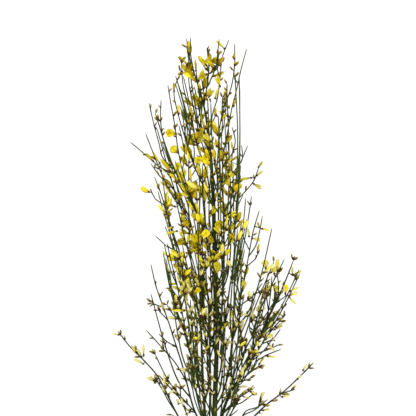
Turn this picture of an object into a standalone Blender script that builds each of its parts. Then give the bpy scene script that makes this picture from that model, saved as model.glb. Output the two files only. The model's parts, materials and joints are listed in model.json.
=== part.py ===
"""Dried broom bloom: one cut flowering branch of broom, lying on its side.

The origin is on the flat under the woody stem, the tips point along +Y and the surface it lies on is z = 0.
Routes and flower places are in millimetres, x across the branch, y along it, z above the surface.
"""

import math
import random

import bmesh
import bpy
import numpy as np
from mathutils import Matrix, Vector

MM = 0.001

# Woody stem
STEM_ROUTE = [
    (-1, -20, 4.7), (0, 5, 4.6), (1, 35, 4.7), (2, 60, 5.6), (5, 120, 8.5), (8, 180, 13), (10, 240, 19),
    (12, 290, 25),
    (10, 340, 31), (8, 390, 36), (7, 440, 41), (5, 480, 44), (3, 510, 46), (-1, 535, 47), (-3, 560, 48),
    (-9, 582, 48), (-16, 605, 47), (-23, 627, 45), (-27, 652, 42),
]
STEM_RADII = [(-20, 5.5), (0, 5.5), (60, 5.2), (120, 4.6), (180, 3.7), (240, 3.3), (440, 2.9),
              (510, 2.1), (560, 1.6),
              (590, 1.1), (630, 0.9), (655, 0.7)]

# How far apart things stay
SEAT_GAP = 0.35
CLEARANCE = 0.6
ROUTE_STEP = 26
TWIG_STEP = 18

# The block that cuts the resting flat: across, along and deep
FLAT_BLOCK = (30, 140, 10)

# Small parts
BUD_LENGTH = 5.5
BUD_RADIUS = 1.15
BUD_ROOT = 0.5
CALYX_LENGTH = 2.4
CALYX_RADIUS = 1.35
STALK_RADIUS = 0.6
SMALL_FLOWER_RADIUS = 1.75
PETAL_THICK = 0.7
PETAL_LIFT = {"closed": (5, 0.9), "open": (12, 1.4), "fork": (24, 1.2)}
KEEL_REACH = {"closed": 0.92, "open": 0.6, "fork": 0.85}

# Each side shoot: where it leaves its parent, which way round the parent (0 is +X, 90 is up), its route,
# its radius at the foot and at the tip, and its own twigs (height of the tip, then points from the shoot out)
SHOOTS = {
    "left_low_spray": {
        "parent": "woody_stem", "foot": 122, "turn": 190, "radii": (1.9, 0.8),
        "route": [(-20, 148, 6), (-39, 180, 5), (-52, 206, 4), (-65, 230, 3), (-80, 247, 2.4),
                  (-100, 267, 1.7), (-114, 285, 1.0)],
        "twigs": [],
    },
    "right_low_spray": {
        "parent": "woody_stem", "foot": 110, "turn": 350, "radii": (1.9, 0.8),
        "route": [(15, 128, 4.5), (24, 142, 3.5), (40, 160, 2.5), (59, 178, 2.2), (79, 197, 2),
                  (92, 206, 1.8),
                  (105, 217, 1.6), (115, 227, 1.4), (133, 245, 1.0)],
        "twigs": [
            (9, (92, 206), (104, 209), (110, 212)),
            (8, (35, 156), (44, 180), (55, 188), (64, 190), (75, 199)),
            (14, (64, 190), (65, 197), (66, 204)),
        ],
    },
    "left_tall_shoot": {
        "parent": "woody_stem", "foot": 160, "turn": 195, "radii": (1.7, 0.7),
        "route": [(2, 184, 7), (3, 225, 7), (2, 262, 8), (2, 300, 9), (2, 319, 10), (-4, 346, 11),
                  (-10, 372, 12),
                  (-17, 397, 14), (-22, 422, 16), (-31, 445, 18), (-40, 471, 18), (-46, 492, 18),
                  (-51, 507, 19),
                  (-58, 534, 20), (-60, 560, 21), (-59, 576, 22)],
        "twigs": [
            (0.9, (-45, 484), (-60, 491), (-70, 499), (-79, 508), (-89, 515), (-98, 523)),
            (8, (-34, 451), (-45, 465), (-55, 474), (-65, 485), (-72, 496)),
            (30, (-46, 491), (-56, 501), (-60, 515), (-64, 531), (-69, 547), (-71, 560), (-74, 572)),
        ],
    },
    "right_main_shoot": {
        "parent": "woody_stem", "foot": 131, "turn": 350, "radii": (3.1, 0.9),
        "route": [(15, 154, 8), (18, 180, 8), (23, 195, 9), (30, 211, 10), (41, 227, 12), (48, 245, 14),
                  (59, 267, 18), (71, 292, 22), (84, 320, 26), (91, 332, 28), (96, 346, 29), (102, 360, 29),
                  (107, 374, 28)],
        "twigs": [
            (45, (88, 329), (88, 350), (86, 362)),
            (34, (84, 320), (91, 325), (99, 331)),
            (52, (54, 257), (57, 277), (59, 290), (62, 305), (64, 316), (67, 326), (69, 335)),
            (40, (70, 291), (74, 303), (76, 315), (78, 329), (79, 341), (80, 355)),
            (30, (77, 305), (82, 318), (83, 330), (84, 342)),
            (38, (66, 282), (78, 297), (83, 305), (91, 315)),
        ],
    },
    "left_outer_shoot": {
        "parent": "woody_stem", "foot": 138, "turn": 170, "radii": (1.7, 0.8),
        "route": [(-6, 159, 9), (-15, 179, 9), (-21, 197, 10), (-26, 217, 11), (-31, 237, 12),
                  (-37, 257, 13),
                  (-43, 275, 14), (-53, 307, 13), (-61, 327, 11), (-69, 354, 9), (-72, 369, 8)],
        "twigs": [
            (36, (-16, 182), (-26, 194), (-36, 205), (-47, 219), (-56, 235), (-66, 256)),
            (26, (-16, 182), (-30, 189), (-34, 202), (-35, 216)),
            (3, (-27, 220), (-37, 239), (-47, 252), (-60, 266), (-72, 280), (-78, 286)),
            (20, (-40, 265), (-52, 272), (-62, 282)),
            (18, (-50, 299), (-57, 305), (-62, 311)),
            (5, (-56, 315), (-66, 321), (-71, 320)),
        ],
    },
    "left_long_shoot": {
        "parent": "woody_stem", "foot": 106, "turn": 110, "radii": (2.8, 0.7),
        "route": [(-1, 144, 17), (-4, 180, 21), (-6, 212, 24), (-8, 262, 27), (-10, 300, 30), (-17, 325, 32),
                  (-23, 352, 34), (-31, 372, 36), (-42, 404, 38), (-52, 434, 40), (-61, 465, 40),
                  (-67, 479, 40)],
        "twigs": [
            (28, (-35, 384), (-54, 393), (-62, 401), (-66, 405)),
            (30, (-56, 443), (-67, 452), (-73, 464)),
        ],
    },
    "left_inner_shoot": {
        "parent": "woody_stem", "foot": 150, "turn": 100, "radii": (1.8, 0.7),
        "route": [(-1, 164, 26), (-8, 180, 31), (-14, 205, 38), (-17, 225, 44), (-19, 244, 49),
                  (-25, 272, 56),
                  (-31, 302, 63), (-36, 330, 68), (-41, 355, 72), (-47, 377, 76), (-51, 396, 78)],
        "twigs": [
            (66, (-31, 299), (-41, 304), (-46, 311), (-51, 319)),
            (60, (-21, 254), (-27, 277), (-24, 293), (-27, 310)),
        ],
    },
    "right_tall_shoot": {
        "parent": "woody_stem", "foot": 278, "turn": 20, "radii": (1.6, 0.7),
        "route": [(17, 302, 31), (18, 325, 37), (19, 344, 42), (20, 372, 48), (20, 400, 55), (20, 427, 60),
                  (19, 450, 64), (18, 472, 67), (18, 494, 69), (20, 512, 71), (23, 529, 73), (26, 542, 74),
                  (30, 566, 76), (38, 597, 77), (44, 627, 77), (48, 638, 76)],
        "twigs": [
            (82, (25, 540), (25, 559), (24, 566)),
            (60, (19, 493), (30, 508), (34, 525), (32, 535), (30, 541)),
        ],
    },
    "right_inner_shoot": {
        "parent": "woody_stem", "foot": 258, "turn": 345, "radii": (1.6, 0.7),
        "route": [(18, 276, 21), (21, 297, 22), (24, 315, 22.5), (28, 347, 23), (31, 365, 24), (33, 387, 25),
                  (34, 422, 26), (36, 452, 26), (38, 467, 26), (40, 481, 26), (41, 494, 25)],
        "twigs": [
            (0.9, (36, 450), (41, 456), (49, 463), (54, 469), (58, 475), (61, 481), (64, 491)),
            (42, (34, 412), (32, 430), (32, 450), (31, 470), (33, 486), (40, 494), (43, 503), (42, 519)),
        ],
    },
    "right_crown_shoot": {
        "parent": "woody_stem", "foot": 388, "turn": 60, "radii": (1.5, 0.7),
        "route": [(12, 406, 46), (13, 425, 55), (13, 444, 63), (12, 462, 71), (11, 481, 79), (12, 497, 85),
                  (13, 517, 90), (15, 545, 95), (20, 565, 98), (27, 584, 99), (31, 600, 98), (33, 620, 96),
                  (33, 644, 93)],
        "twigs": [
            (92, (16, 551), (17, 562), (18, 577)),
        ],
    },
    "left_crown_shoot": {
        "parent": "woody_stem", "foot": 374, "turn": 130, "radii": (1.5, 0.7),
        "route": [(2, 391, 43), (-3, 404, 48), (-9, 421, 56), (-16, 440, 63), (-20, 450, 66), (-27, 470, 72),
                  (-32, 487, 76), (-36, 505, 79), (-38, 517, 81), (-42, 547, 84), (-48, 579, 85),
                  (-50, 593, 84)],
        "twigs": [
            (60, (-13, 431), (-22, 448), (-29, 462), (-30, 475)),
        ],
    },
    "arched_shoot": {
        "parent": "woody_stem", "foot": 442, "turn": 100, "radii": (1.4, 0.7),
        "route": [(1, 457, 53), (-6, 466, 61), (-12, 480, 69), (-17, 492, 76), (-22, 505, 83),
                  (-26, 519, 90),
                  (-31, 535, 96), (-37, 556, 101), (-41, 574, 103), (-42, 588, 103), (-39, 602, 102),
                  (-33, 610, 101)],
        "twigs": [
            (98, (-26, 519), (-29, 534), (-29, 545), (-32, 557)),
        ],
    },
    "crown_shoot_left": {
        "parent": "woody_stem", "foot": 462, "turn": 170, "radii": (1.3, 0.7),
        "route": [(0, 480, 50), (-6, 496, 54), (-10, 505, 57), (-13, 516, 60), (-19, 540, 64),
                  (-24, 563, 67),
                  (-29, 583, 69), (-32, 600, 70), (-33, 622, 68)],
        "twigs": [
            (52, (-13, 515), (-17, 528), (-18, 540), (-24, 552)),
        ],
    },
    "crown_shoot_back": {
        "parent": "woody_stem", "foot": 500, "turn": 200, "radii": (1.2, 0.7),
        "route": [(-4, 513, 42), (-9, 525, 38), (-12, 540, 35), (-15, 550, 33), (-18, 565, 31),
                  (-22, 581, 29),
                  (-24, 600, 28), (-25, 617, 28)],
        "twigs": [
            (20, (-14, 548), (-10, 562), (-12, 575)),
        ],
    },
    "crown_shoot_right": {
        "parent": "woody_stem", "foot": 531, "turn": 0, "radii": (1.2, 0.7),
        "route": [(3, 546, 51), (7, 561, 55), (11, 575, 60), (14, 588, 64), (15, 603, 66), (16, 619, 66),
                  (21, 640, 64), (26, 650, 62)],
        "twigs": [
            (60, (3, 546), (7, 552), (10, 556)),
        ],
    },
    "right_long_shoot": {
        "parent": "right_main_shoot", "foot": 204, "turn": 80, "radii": (1.6, 0.8),
        "route": [(29, 226, 20), (29, 244, 27), (30, 262, 33), (31, 277, 38), (35, 295, 44), (39, 315, 50),
                  (41, 330, 53), (45, 350, 56), (50, 375, 58), (54, 402, 60), (59, 419, 61), (64, 437, 60)],
        "twigs": [
            (62, (52, 387), (48, 393), (43, 407), (41, 413)),
            (50, (49, 367), (59, 376), (63, 382), (65, 388)),
            (40, (40, 317), (51, 324), (57, 331), (62, 337), (68, 346)),
            (58, (57, 331), (67, 335), (72, 341), (74, 349), (75, 359)),
            (70, (41, 330), (34, 345), (30, 354), (28, 365)),
            (46, (43, 341), (41, 360), (40, 377), (38, 388), (35, 397)),
        ],
    },
    "right_outer_shoot": {
        "parent": "right_main_shoot", "foot": 236, "turn": 330, "radii": (1.5, 0.8),
        "route": [(56, 251, 12), (63, 261, 11), (70, 270, 10), (75, 279, 9), (80, 286, 8), (86, 293, 7),
                  (92, 299, 5), (98, 306, 3)],
        "twigs": [
            (18, (69, 269), (77, 270), (82, 275), (87, 282), (91, 288)),
            (1.2, (60, 257), (68, 259), (77, 262), (90, 268)),
        ],
    },
    "right_short_shoot": {
        "parent": "right_main_shoot", "foot": 220, "turn": 320, "radii": (1.1, 0.7),
        "route": [(45, 226, 10), (53, 234, 9), (59, 242, 8), (63, 252, 7), (65, 259, 6)],
        "twigs": [
            (3, (45, 226), (53, 229), (60, 236), (64, 241)),
            (3, (62, 246), (68, 250), (74, 255), (82, 258), (92, 262)),
        ],
    },
    "right_small_shoot": {
        "parent": "woody_stem", "foot": 149, "turn": 40, "radii": (1.3, 0.7),
        "route": [(16, 167, 19), (25, 181, 25), (28, 190, 28), (32, 196, 31), (41, 204, 36), (51, 212, 40),
                  (55, 213, 41)],
        "twigs": [
            (20, (29, 191), (37, 192), (47, 199), (55, 205)),
            (38, (27, 187), (31, 205), (36, 218), (42, 226), (52, 226)),
        ],
    },
}

# Twigs of the woody stem's own leader
LEADER_TWIGS = [
    (56, (-4, 566), (-3, 579), (-2, 588), (0, 600), (1, 615), (1, 631), (0, 640)),
    (64, (-2, 590), (6, 606), (9, 614), (12, 625), (14, 634)),
    (40, (-4, 564), (-5, 581), (-6, 592), (-8, 601)),
    (38, (1, 520), (-6, 533), (-8, 545), (-11, 561), (-14, 578), (-17, 592)),
    (52, (-18, 611), (-22, 625), (-21, 641), (-22, 653)),
    (34, (8, 194), (16, 201), (26, 214)),
]

# Flowers: form, width, place of the base and of the tip across and along the branch
BLOOMS = {
    "woody_stem": [
        ("open", 8, (14, 624), (4, 625)),
        ("open", 8, (-2, 607), (-11, 604)),
        ("fork", 7, (4, 515), (-3, 527)),
        ("closed", 5, (8, 448), (-2, 447)),
        ("open", 9, (10, 357), (12, 374)),
    ],
    "left_low_spray": [
        ("closed", 4.5, (-82, 244), (-94, 251)),
        ("closed", 4, (-84, 253), (-89, 264)),
    ],
    "left_tall_shoot": [
        ("closed", 4.5, (-69, 499), (-78, 510)),
        ("closed", 6, (-47, 486), (-59, 503)),
        ("closed", 5, (-45, 466), (-54, 478)),
        ("closed", 5, (-42, 442), (-55, 447)),
        ("closed", 4, (-8, 341), (-3, 349)),
    ],
    "left_long_shoot": [
        ("closed", 5.5, (-54, 435), (-62, 445)),
        ("closed", 4, (-39, 411), (-53, 408)),
        ("open", 7, (-22, 339), (-24, 351)),
        ("closed", 5, (-20, 340), (-9, 335)),
        ("closed", 4.5, (-10, 274), (-21, 277)),
    ],
    "left_inner_shoot": [
        ("closed", 5, (-35, 379), (-46, 386)),
        ("closed", 4, (-30, 312), (-44, 313)),
        ("closed", 5, (-27, 316), (-27, 330)),
    ],
    "left_crown_shoot": [
        ("open", 9, (-40, 532), (-53, 534)),
        ("open", 9, (-38, 509), (-47, 517)),
        ("closed", 4.5, (-34, 473), (-26, 487)),
        ("fork", 9, (-19, 436), (-19, 449)),
    ],
    "arched_shoot": [
        ("closed", 6, (-32, 609), (-21, 601)),
        ("closed", 4, (-23, 497), (-25, 511)),
    ],
    "crown_shoot_left": [
        ("closed", 6, (-9, 479), (-13, 497)),
    ],
    "crown_shoot_right": [
        ("closed", 4, (20, 639), (10, 650)),
        ("fork", 6, (15, 592), (10, 607)),
    ],
    "right_crown_shoot": [
        ("closed", 6, (8, 499), (8, 514)),
    ],
    "right_tall_shoot": [
        ("closed", 6, (20, 520), (31, 529)),
        ("closed", 6.5, (17, 380), (20, 396)),
    ],
    "right_inner_shoot": [
        ("open", 8, (28, 467), (21, 479)),
        ("closed", 4.5, (54, 478), (38, 476)),
        ("fork", 6, (58, 470), (69, 464)),
    ],
    "right_long_shoot": [
        ("open", 8, (72, 365), (71, 376)),
        ("fork", 6, (56, 402), (67, 400)),
    ],
    "right_main_shoot": [
        ("closed", 6.5, (87, 362), (88, 377)),
        ("open", 6, (97, 333), (98, 345)),
        ("closed", 6, (103, 331), (113, 334)),
    ],
}

# Smaller flowers, grown together with their shoot
SMALL_FLOWERS = {
    "woody_stem": [
        ((-26, 619), (-35, 630)), ((-15, 612), (-16, 626)), ((-3, 614), (-8, 624)), ((-9, 588), (-12, 597)),
        ((-4, 539), (-7, 552)), ((-3, 501), (-4, 511)), ((-1, 466), (-5, 477)), ((9, 450), (10, 461)),
        ((11, 384), (1, 388)), ((18, 235), (19, 249)),
    ],
    "left_low_spray": [((-81, 255), (-81, 270)), ((-67, 220), (-74, 229)), ((-54, 206), (-59, 216))],
    "left_outer_shoot": [((-54, 217), (-56, 234)), ((-49, 207), (-42, 212)), ((-37, 194), (-39, 201))],
    "left_tall_shoot": [
        ((-61, 497), (-71, 512)), ((-50, 466), (-61, 474)), ((-17, 392), (-22, 405)), ((-11, 388),
        (-24, 386)),
        ((3, 304), (10, 311)), ((-4, 315), (-7, 325)), ((4, 312), (6, 321)), ((0, 261), (-8, 271)),
    ],
    "left_long_shoot": [
        ((-52, 434), (-43, 440)), ((-44, 416), (-51, 414)), ((-30, 401), (-36, 412)), ((-16, 347),
        (-21, 357)),
        ((-10, 282), (-22, 285)), ((-6, 305), (-12, 320)),
    ],
    "left_inner_shoot": [
        ((-50, 380), (-57, 386)), ((-48, 360), (-53, 370)), ((-40, 346), (-47, 345)), ((-29, 342),
        (-36, 352)),
    ],
    "left_crown_shoot": [((-36, 479), (-44, 494)), ((-22, 455), (-30, 457))],
    "arched_shoot": [((-42, 585), (-43, 596)), ((-36, 557), (-38, 569)), ((-21, 472), (-22, 490))],
    "crown_shoot_left": [((-19, 554), (-22, 568)), ((-9, 505), (-12, 520))],
    "crown_shoot_back": [((-7, 530), (-9, 540)), ((-24, 612), (-31, 614))],
    "crown_shoot_right": [((9, 577), (13, 590)), ((9, 556), (10, 565))],
    "right_crown_shoot": [((23, 574), (22, 587)), ((17, 549), (23, 558)), ((11, 517), (9, 527))],
    "right_tall_shoot": [((26, 565), (20, 571)), ((32, 567), (34, 576)), ((23, 414), (24, 432)),
                         ((32, 510), (29, 524))],
    "right_inner_shoot": [
        ((29, 499), (39, 505)), ((34, 482), (40, 489)), ((28, 466), (30, 452)), ((38, 424), (26, 433)),
        ((24, 297), (16, 286)), ((64, 492), (69, 499)), ((62, 481), (70, 487)),
    ],
    "right_long_shoot": [
        ((31, 300), (29, 317)), ((50, 306), (42, 309)), ((64, 416), (62, 423)), ((68, 414), (77, 412)),
        ((51, 405), (50, 415)), ((62, 385), (63, 396)), ((43, 339), (44, 351)), ((72, 360), (66, 357)),
    ],
    "right_main_shoot": [
        ((104, 336), (115, 342)), ((102, 328), (111, 319)), ((106, 357), (106, 367)), ((108, 356),
        (118, 362)),
        ((56, 300), (55, 317)), ((56, 255), (52, 266)), ((49, 246), (57, 249)), ((83, 358), (85, 370)),
    ],
    "right_outer_shoot": [
        ((76, 269), (84, 259)), ((78, 286), (83, 301)), ((86, 290), (95, 296)), ((94, 304), (84, 311)),
    ],
    "right_short_shoot": [((65, 244), (72, 253))],
    "right_low_spray": [((94, 202), (104, 204)), ((120, 236), (125, 244))],
}

# Rule twigs that fill the crown: first and last place along the shoot, how many, and their length
FILL_TWIGS = {
    "woody_stem": (230, 500, 7, 34),
    "left_tall_shoot": (230, 430, 5, 34),
    "left_long_shoot": (220, 400, 5, 32),
    "left_inner_shoot": (220, 370, 4, 26),
    "left_crown_shoot": (400, 500, 2, 30),
    "arched_shoot": (460, 520, 2, 26),
    "right_tall_shoot": (300, 480, 5, 34),
    "right_inner_shoot": (290, 450, 4, 30),
    "right_crown_shoot": (410, 520, 3, 30),
    "right_long_shoot": (235, 340, 4, 28),
    "right_main_shoot": (205, 330, 4, 24),
    "right_outer_shoot": (255, 290, 2, 18),
}

# Buds: spacing along a shoot and along its twigs, and the length near a shoot's foot that stays bare
BUD_SPACING = 40
BUD_SPACING_TWIG = 27
BARE_FOOT = 60

# Colours
STEM_GREEN = (0.055, 0.085, 0.030, 1)
SHOOT_GREEN = (0.040, 0.085, 0.024, 1)
PETAL_YELLOW = (0.70, 0.55, 0.03, 1)


def curve_through(points, step):
    """Evenly spaced points on a smooth curve through the given ones, first and last kept."""
    points = np.array(points, float)
    padded = np.vstack([2 * points[0] - points[1], points, 2 * points[-1] - points[-2]])
    fine = []
    for before, start, end, after in zip(padded, padded[1:], padded[2:], padded[3:]):
        for t in np.arange(0, 1, 0.1):
            bend = 2 * start + (end - before) * t + (2 * before - 5 * start + 4 * end - after) * t**2
            fine.append(0.5 * (bend + (3 * start - before - 3 * end + after) * t**3))
    fine = np.array(fine + [points[-1]])
    along = np.concatenate([[0], np.cumsum(np.linalg.norm(np.diff(fine, axis=0), axis=1))])
    wanted = np.linspace(0, along[-1], max(2, round(along[-1] / step) + 1))
    return np.column_stack([np.interp(wanted, along, fine[:, axis]) for axis in range(3)])


def distances_between(starts, ends, other_starts, other_ends):
    """Shortest distances between every segment of one set and every one of another."""
    along = (ends - starts)[:, None]
    other = (other_ends - other_starts)[None]
    apart = starts[:, None] - other_starts[None]
    a = np.maximum((along * along).sum(-1), 1e-9)
    e = np.maximum((other * other).sum(-1), 1e-9)
    b = (along * other).sum(-1)
    c = (along * apart).sum(-1)
    f = (other * apart).sum(-1)
    s = np.clip((b * f - c * e) / np.maximum(a * e - b * b, 1e-9), 0, 1)
    t = np.clip((b * s + f) / e, 0, 1)
    s = np.clip((b * t - c) / a, 0, 1)
    return np.linalg.norm(apart + along * s[..., None] - other * t[..., None], axis=-1)


class Branch:
    """Every rod placed so far, so that what comes next stays clear of what belongs to another node."""

    def __init__(self):
        self.starts = np.empty((0, 3))
        self.ends = np.empty((0, 3))
        self.radii = np.empty(0)
        self.owners = np.empty(0, dtype=object)
        self.mains = {}
        self.twigs = {}
        self.pieces = {}
        self.blooms = []

    def add_rod(self, owner, points, radii):
        points = np.array(points, float)
        radii = np.array(radii, float)
        self.starts = np.vstack([self.starts, points[:-1]])
        self.ends = np.vstack([self.ends, points[1:]])
        self.radii = np.append(self.radii, np.maximum(radii[:-1], radii[1:]))
        self.owners = np.append(self.owners, [owner] * (len(points) - 1))

    def room_round(self, owner, points, radii, but_not=None):
        """The narrowest gap from a new rod to the rods of other nodes."""
        points = np.array(points, float)
        radii = np.array(radii, float)
        others = (self.owners != owner) & (self.owners != but_not)
        low = points.min(axis=0) - 12
        high = points.max(axis=0) + 12
        others &= (np.minimum(self.starts, self.ends) < high).all(1)
        others &= (np.maximum(self.starts, self.ends) > low).all(1)
        if len(points) < 2 or not others.any():
            return 99.0
        gaps = distances_between(points[:-1], points[1:], self.starts[others], self.ends[others])
        gaps -= np.maximum(radii[:-1], radii[1:])[:, None] + self.radii[others][None]
        return gaps.min()

    def nearest_twig(self, owner, place):
        """The twig point of a shoot that is nearest to a place across and along the branch."""
        place = np.array(place, float)
        least = 1e9
        for points, radii in self.twigs[owner]:
            for start, end in zip(points[:-1], points[1:]):
                run = end - start
                share = np.clip(np.dot(place - start[:2], run[:2]) / np.dot(run[:2], run[:2]), 0, 1)
                at = start + run * share
                apart = np.hypot(*(place - at[:2]))
                if apart < least:
                    least = apart
                    nearest = at
        return nearest


def heights_to_try(step, count):
    """0, then up and down by more and more."""
    yield 0
    for number in range(1, count + 1):
        yield number * step
        yield -number * step


def stem_radius(y):
    return float(np.interp(y, *zip(*STEM_RADII)))


def place_woody_stem(branch):
    points = curve_through(STEM_ROUTE, ROUTE_STEP)
    radii = np.array([stem_radius(point[1]) for point in points])
    branch.mains["woody_stem"] = (points, radii)
    branch.twigs["woody_stem"] = [(points, radii)]
    branch.pieces["woody_stem"] = [("stem", points, radii)]
    branch.add_rod("woody_stem", points, radii)


def place_foot(branch, shoot):
    """The first point of a side shoot, seated just off its parent's surface."""
    points, radii = branch.mains[shoot["parent"]]
    at = np.array([np.interp(shoot["foot"], points[:, 1], points[:, axis]) for axis in range(3)])
    thick = float(np.interp(shoot["foot"], points[:, 1], radii))
    turn = math.radians(shoot["turn"])
    out = np.array([math.cos(turn), 0, math.sin(turn)])
    return at + out * (thick + SEAT_GAP + 0.8 * shoot["radii"][0])


def place_shoot(branch, name, shoot):
    """One side shoot, raised or lowered along its length until it is clear of the others."""
    foot = place_foot(branch, shoot)
    smooth = curve_through([foot] + shoot["route"], ROUTE_STEP)
    along = np.linspace(0, 1, len(smooth))
    radii = np.interp(along, [0, 0.25, 1], [shoot["radii"][0], 0.75 * shoot["radii"][0], shoot["radii"][1]])
    blend = np.clip(along * 5, 0, 1)
    best = (-99, None)
    for rise in heights_to_try(2.5, 8):
        points = smooth.copy()
        points[:, 2] = np.maximum(points[:, 2] + rise * blend, radii + 0.05 * (1 - along))
        room = min(branch.room_round(name, points[1:], radii[1:], shoot["parent"]),
                   branch.room_round(name, points[2:], radii[2:]))
        if room > best[0]:
            best = (room, points)
        if room > CLEARANCE:
            break
    if best[0] < 0.2:
        print(f"{name} has only {best[0]:.2f} mm")
    points = best[1]
    branch.mains[name] = (points, radii)
    branch.twigs[name] = [(points, radii)]
    branch.pieces[name] = [("twig", points, radii)]
    branch.add_rod(name, points, radii)


def place_twig(branch, name, tip_height, places, thick=(0.95, 0.65)):
    """One twig of a shoot, its tip raised or lowered until it is clear. True if it found room."""
    root = branch.nearest_twig(name, places[0])
    flat = np.array(places[1:], float)
    run = np.linalg.norm(np.diff(np.vstack([root[:2], flat]), axis=0), axis=1).cumsum()
    share = run / run[-1]
    for rise in heights_to_try(3, 12):
        tip = tip_height + rise
        if tip < 0.85 or (tip_height < 4 and rise > 6):
            continue
        heights = root[2] + (tip - root[2]) * (1 - (1 - share) ** 1.5)
        points = curve_through([tuple(root)] + [(x, y, z) for (x, y), z in zip(flat, heights)], TWIG_STEP)
        radii = np.linspace(thick[0], thick[1], len(points))
        points[1:, 2] = np.maximum(points[1:, 2], radii[1:])
        if branch.room_round(name, points, radii) > CLEARANCE:
            branch.twigs[name].append((points, radii))
            branch.pieces[name].append(("twig", points, radii))
            branch.add_rod(name, points, radii)
            return True
    return False


def flower_tries(height):
    """Heights of a flower's base and tip to try, nearest to its twig first."""
    for base in (2, -2, 4, -4, 7, -7, 10, -10, 13, -13, 17, -17, 21, -21):
        for slope in (2, -3, 6, -7, 10, -10):
            if height + base > 3 and height + base + slope > 3:
                yield height + base, height + base + slope


def flower_body(form, width, start, end):
    """Rods that cover the petals of one flower."""
    forward = (end - start) / np.linalg.norm(end - start)
    across = np.cross(forward, [0, 0, 1.0])
    across /= np.linalg.norm(across)
    up = np.cross(across, forward) * math.tan(math.radians(PETAL_LIFT[form][0])) * np.linalg.norm(end - start)
    rods = []
    for side in (-0.28, 0.28):
        out = across * width * side
        rods.append(([start + out * 0.4, end + out], [width * 0.25] * 2))
        rods.append(([start + out * 0.4, end + out + up], [width * 0.25] * 2))
    return rods


def stalk_rod(root, start, forward):
    """A flower's stalk and calyx, from the twig to the petals, or None if it would kink."""
    for length in (CALYX_LENGTH, 0.5 * CALYX_LENGTH):
        calyx = start - forward * length
        if np.linalg.norm(calyx - root) > 0.9 and np.dot(calyx - root, forward) > -0.3:
            return [root, calyx, start]
    return None


def place_flower(branch, owner, form, width, base, tip, own_node):
    """One flower on its stalk and calyx: its petals are a node of their own, or part of the shoot."""
    root = branch.nearest_twig(owner, base)
    for base_height, tip_height in flower_tries(root[2]):
        start = np.array([*base, base_height], float)
        end = np.array([*tip, tip_height], float)
        forward = (end - start) / np.linalg.norm(end - start)
        stalk = stalk_rod(root, start, forward)
        stalk_radii = [STALK_RADIUS, STALK_RADIUS, CALYX_RADIUS]
        if stalk is None:
            continue
        petal = start + forward * SEAT_GAP
        body = flower_body(form, width, petal, end)
        name = f"bloom_{len(branch.blooms) + 1:02d}" if own_node else owner
        clear = branch.room_round(owner, stalk, stalk_radii) > CLEARANCE * 0.6
        clear = clear and all(branch.room_round(name, *rod, owner) > CLEARANCE * 0.6 for rod in body)
        if own_node:
            lifted = [([rod[0][0] + forward * 1.5, rod[0][1]], rod[1]) for rod in body]
            clear = clear and all(branch.room_round(name, *rod) > CLEARANCE * 0.6 for rod in lifted)
        if not clear:
            continue
        branch.add_rod(owner, stalk, stalk_radii)
        for rod in body:
            branch.add_rod(name, *rod)
        if own_node:
            branch.pieces[owner].append(("twig", np.array(stalk), stalk_radii))
            branch.blooms.append((form, width, petal, end))
        else:
            swell = start + (end - start) * 0.5
            rod = np.array(stalk + [swell, end])
            branch.pieces[owner].append(("twig", rod, stalk_radii + [SMALL_FLOWER_RADIUS, 0.5]))
        return True
    return False


def fill_crown(branch, name, first, last, count, length, chance):
    """Twigs set along a shoot by rule, alternately to its left and right."""
    points, radii = branch.mains[name]
    for number in range(count):
        y = first + (last - first) * (number + chance.random()) / count
        start = np.array([np.interp(y, points[:, 1], points[:, axis]) for axis in range(3)])
        side = 1 if number % 2 else -1
        lean = side * math.radians(chance.uniform(8, 26))
        reach = length * chance.uniform(0.7, 1.3)
        height = start[2] + chance.uniform(-14, 16)
        middle = (start[0] + math.sin(lean * 1.4) * reach * 0.5, start[1] + math.cos(lean) * reach * 0.5)
        end = (start[0] + math.sin(lean) * reach, start[1] + math.cos(lean) * reach)
        place_twig(branch, name, max(height, 3), [tuple(start[:2]), middle, end], (0.85, 0.6))


def place_bud(branch, name, root, ahead, first_turn, length):
    """One bud leaning forward out of its twig, on the first side of it that is clear."""
    sideways = np.cross(ahead, [0, 0, 1.0])
    sideways /= np.linalg.norm(sideways)
    up = np.cross(sideways, ahead)
    for step in range(6):
        turn = math.radians(first_turn + 60 * step)
        forward = ahead + sideways * math.cos(turn) + up * math.sin(turn)
        forward /= np.linalg.norm(forward)
        tip = root + forward * length
        if tip[2] < BUD_RADIUS + 0.2:
            continue
        rod = ([root + forward * 1.5, tip], [BUD_RADIUS] * 2)
        if branch.room_round(name, *rod) > CLEARANCE * 0.5:
            branch.pieces[name].append(("bud", root, forward, length))
            branch.add_rod(name, *rod)
            return


def place_buds(branch, name, chance):
    """Buds along every twig of a shoot, fewer on the shoot itself and none near its foot."""
    for number, (points, radii) in enumerate(branch.twigs[name]):
        spacing = BUD_SPACING_TWIG if number else BUD_SPACING
        lengths = np.linalg.norm(np.diff(points, axis=0), axis=1)
        along = np.concatenate([[0], lengths.cumsum()])
        at = spacing * chance.uniform(0.5, 1) + (0 if number else BARE_FOOT)
        while at < along[-1] - 2:
            root = np.array([np.interp(at, along, points[:, axis]) for axis in range(3)])
            ahead = np.array([np.interp(at + 1, along, points[:, axis]) for axis in range(3)]) - root
            ahead /= np.linalg.norm(ahead)
            first_turn = chance.uniform(0, 360)
            place_bud(branch, name, root, ahead, first_turn, BUD_LENGTH * chance.uniform(0.85, 1.2))
            at += spacing * chance.uniform(0.7, 1.3)


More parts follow.
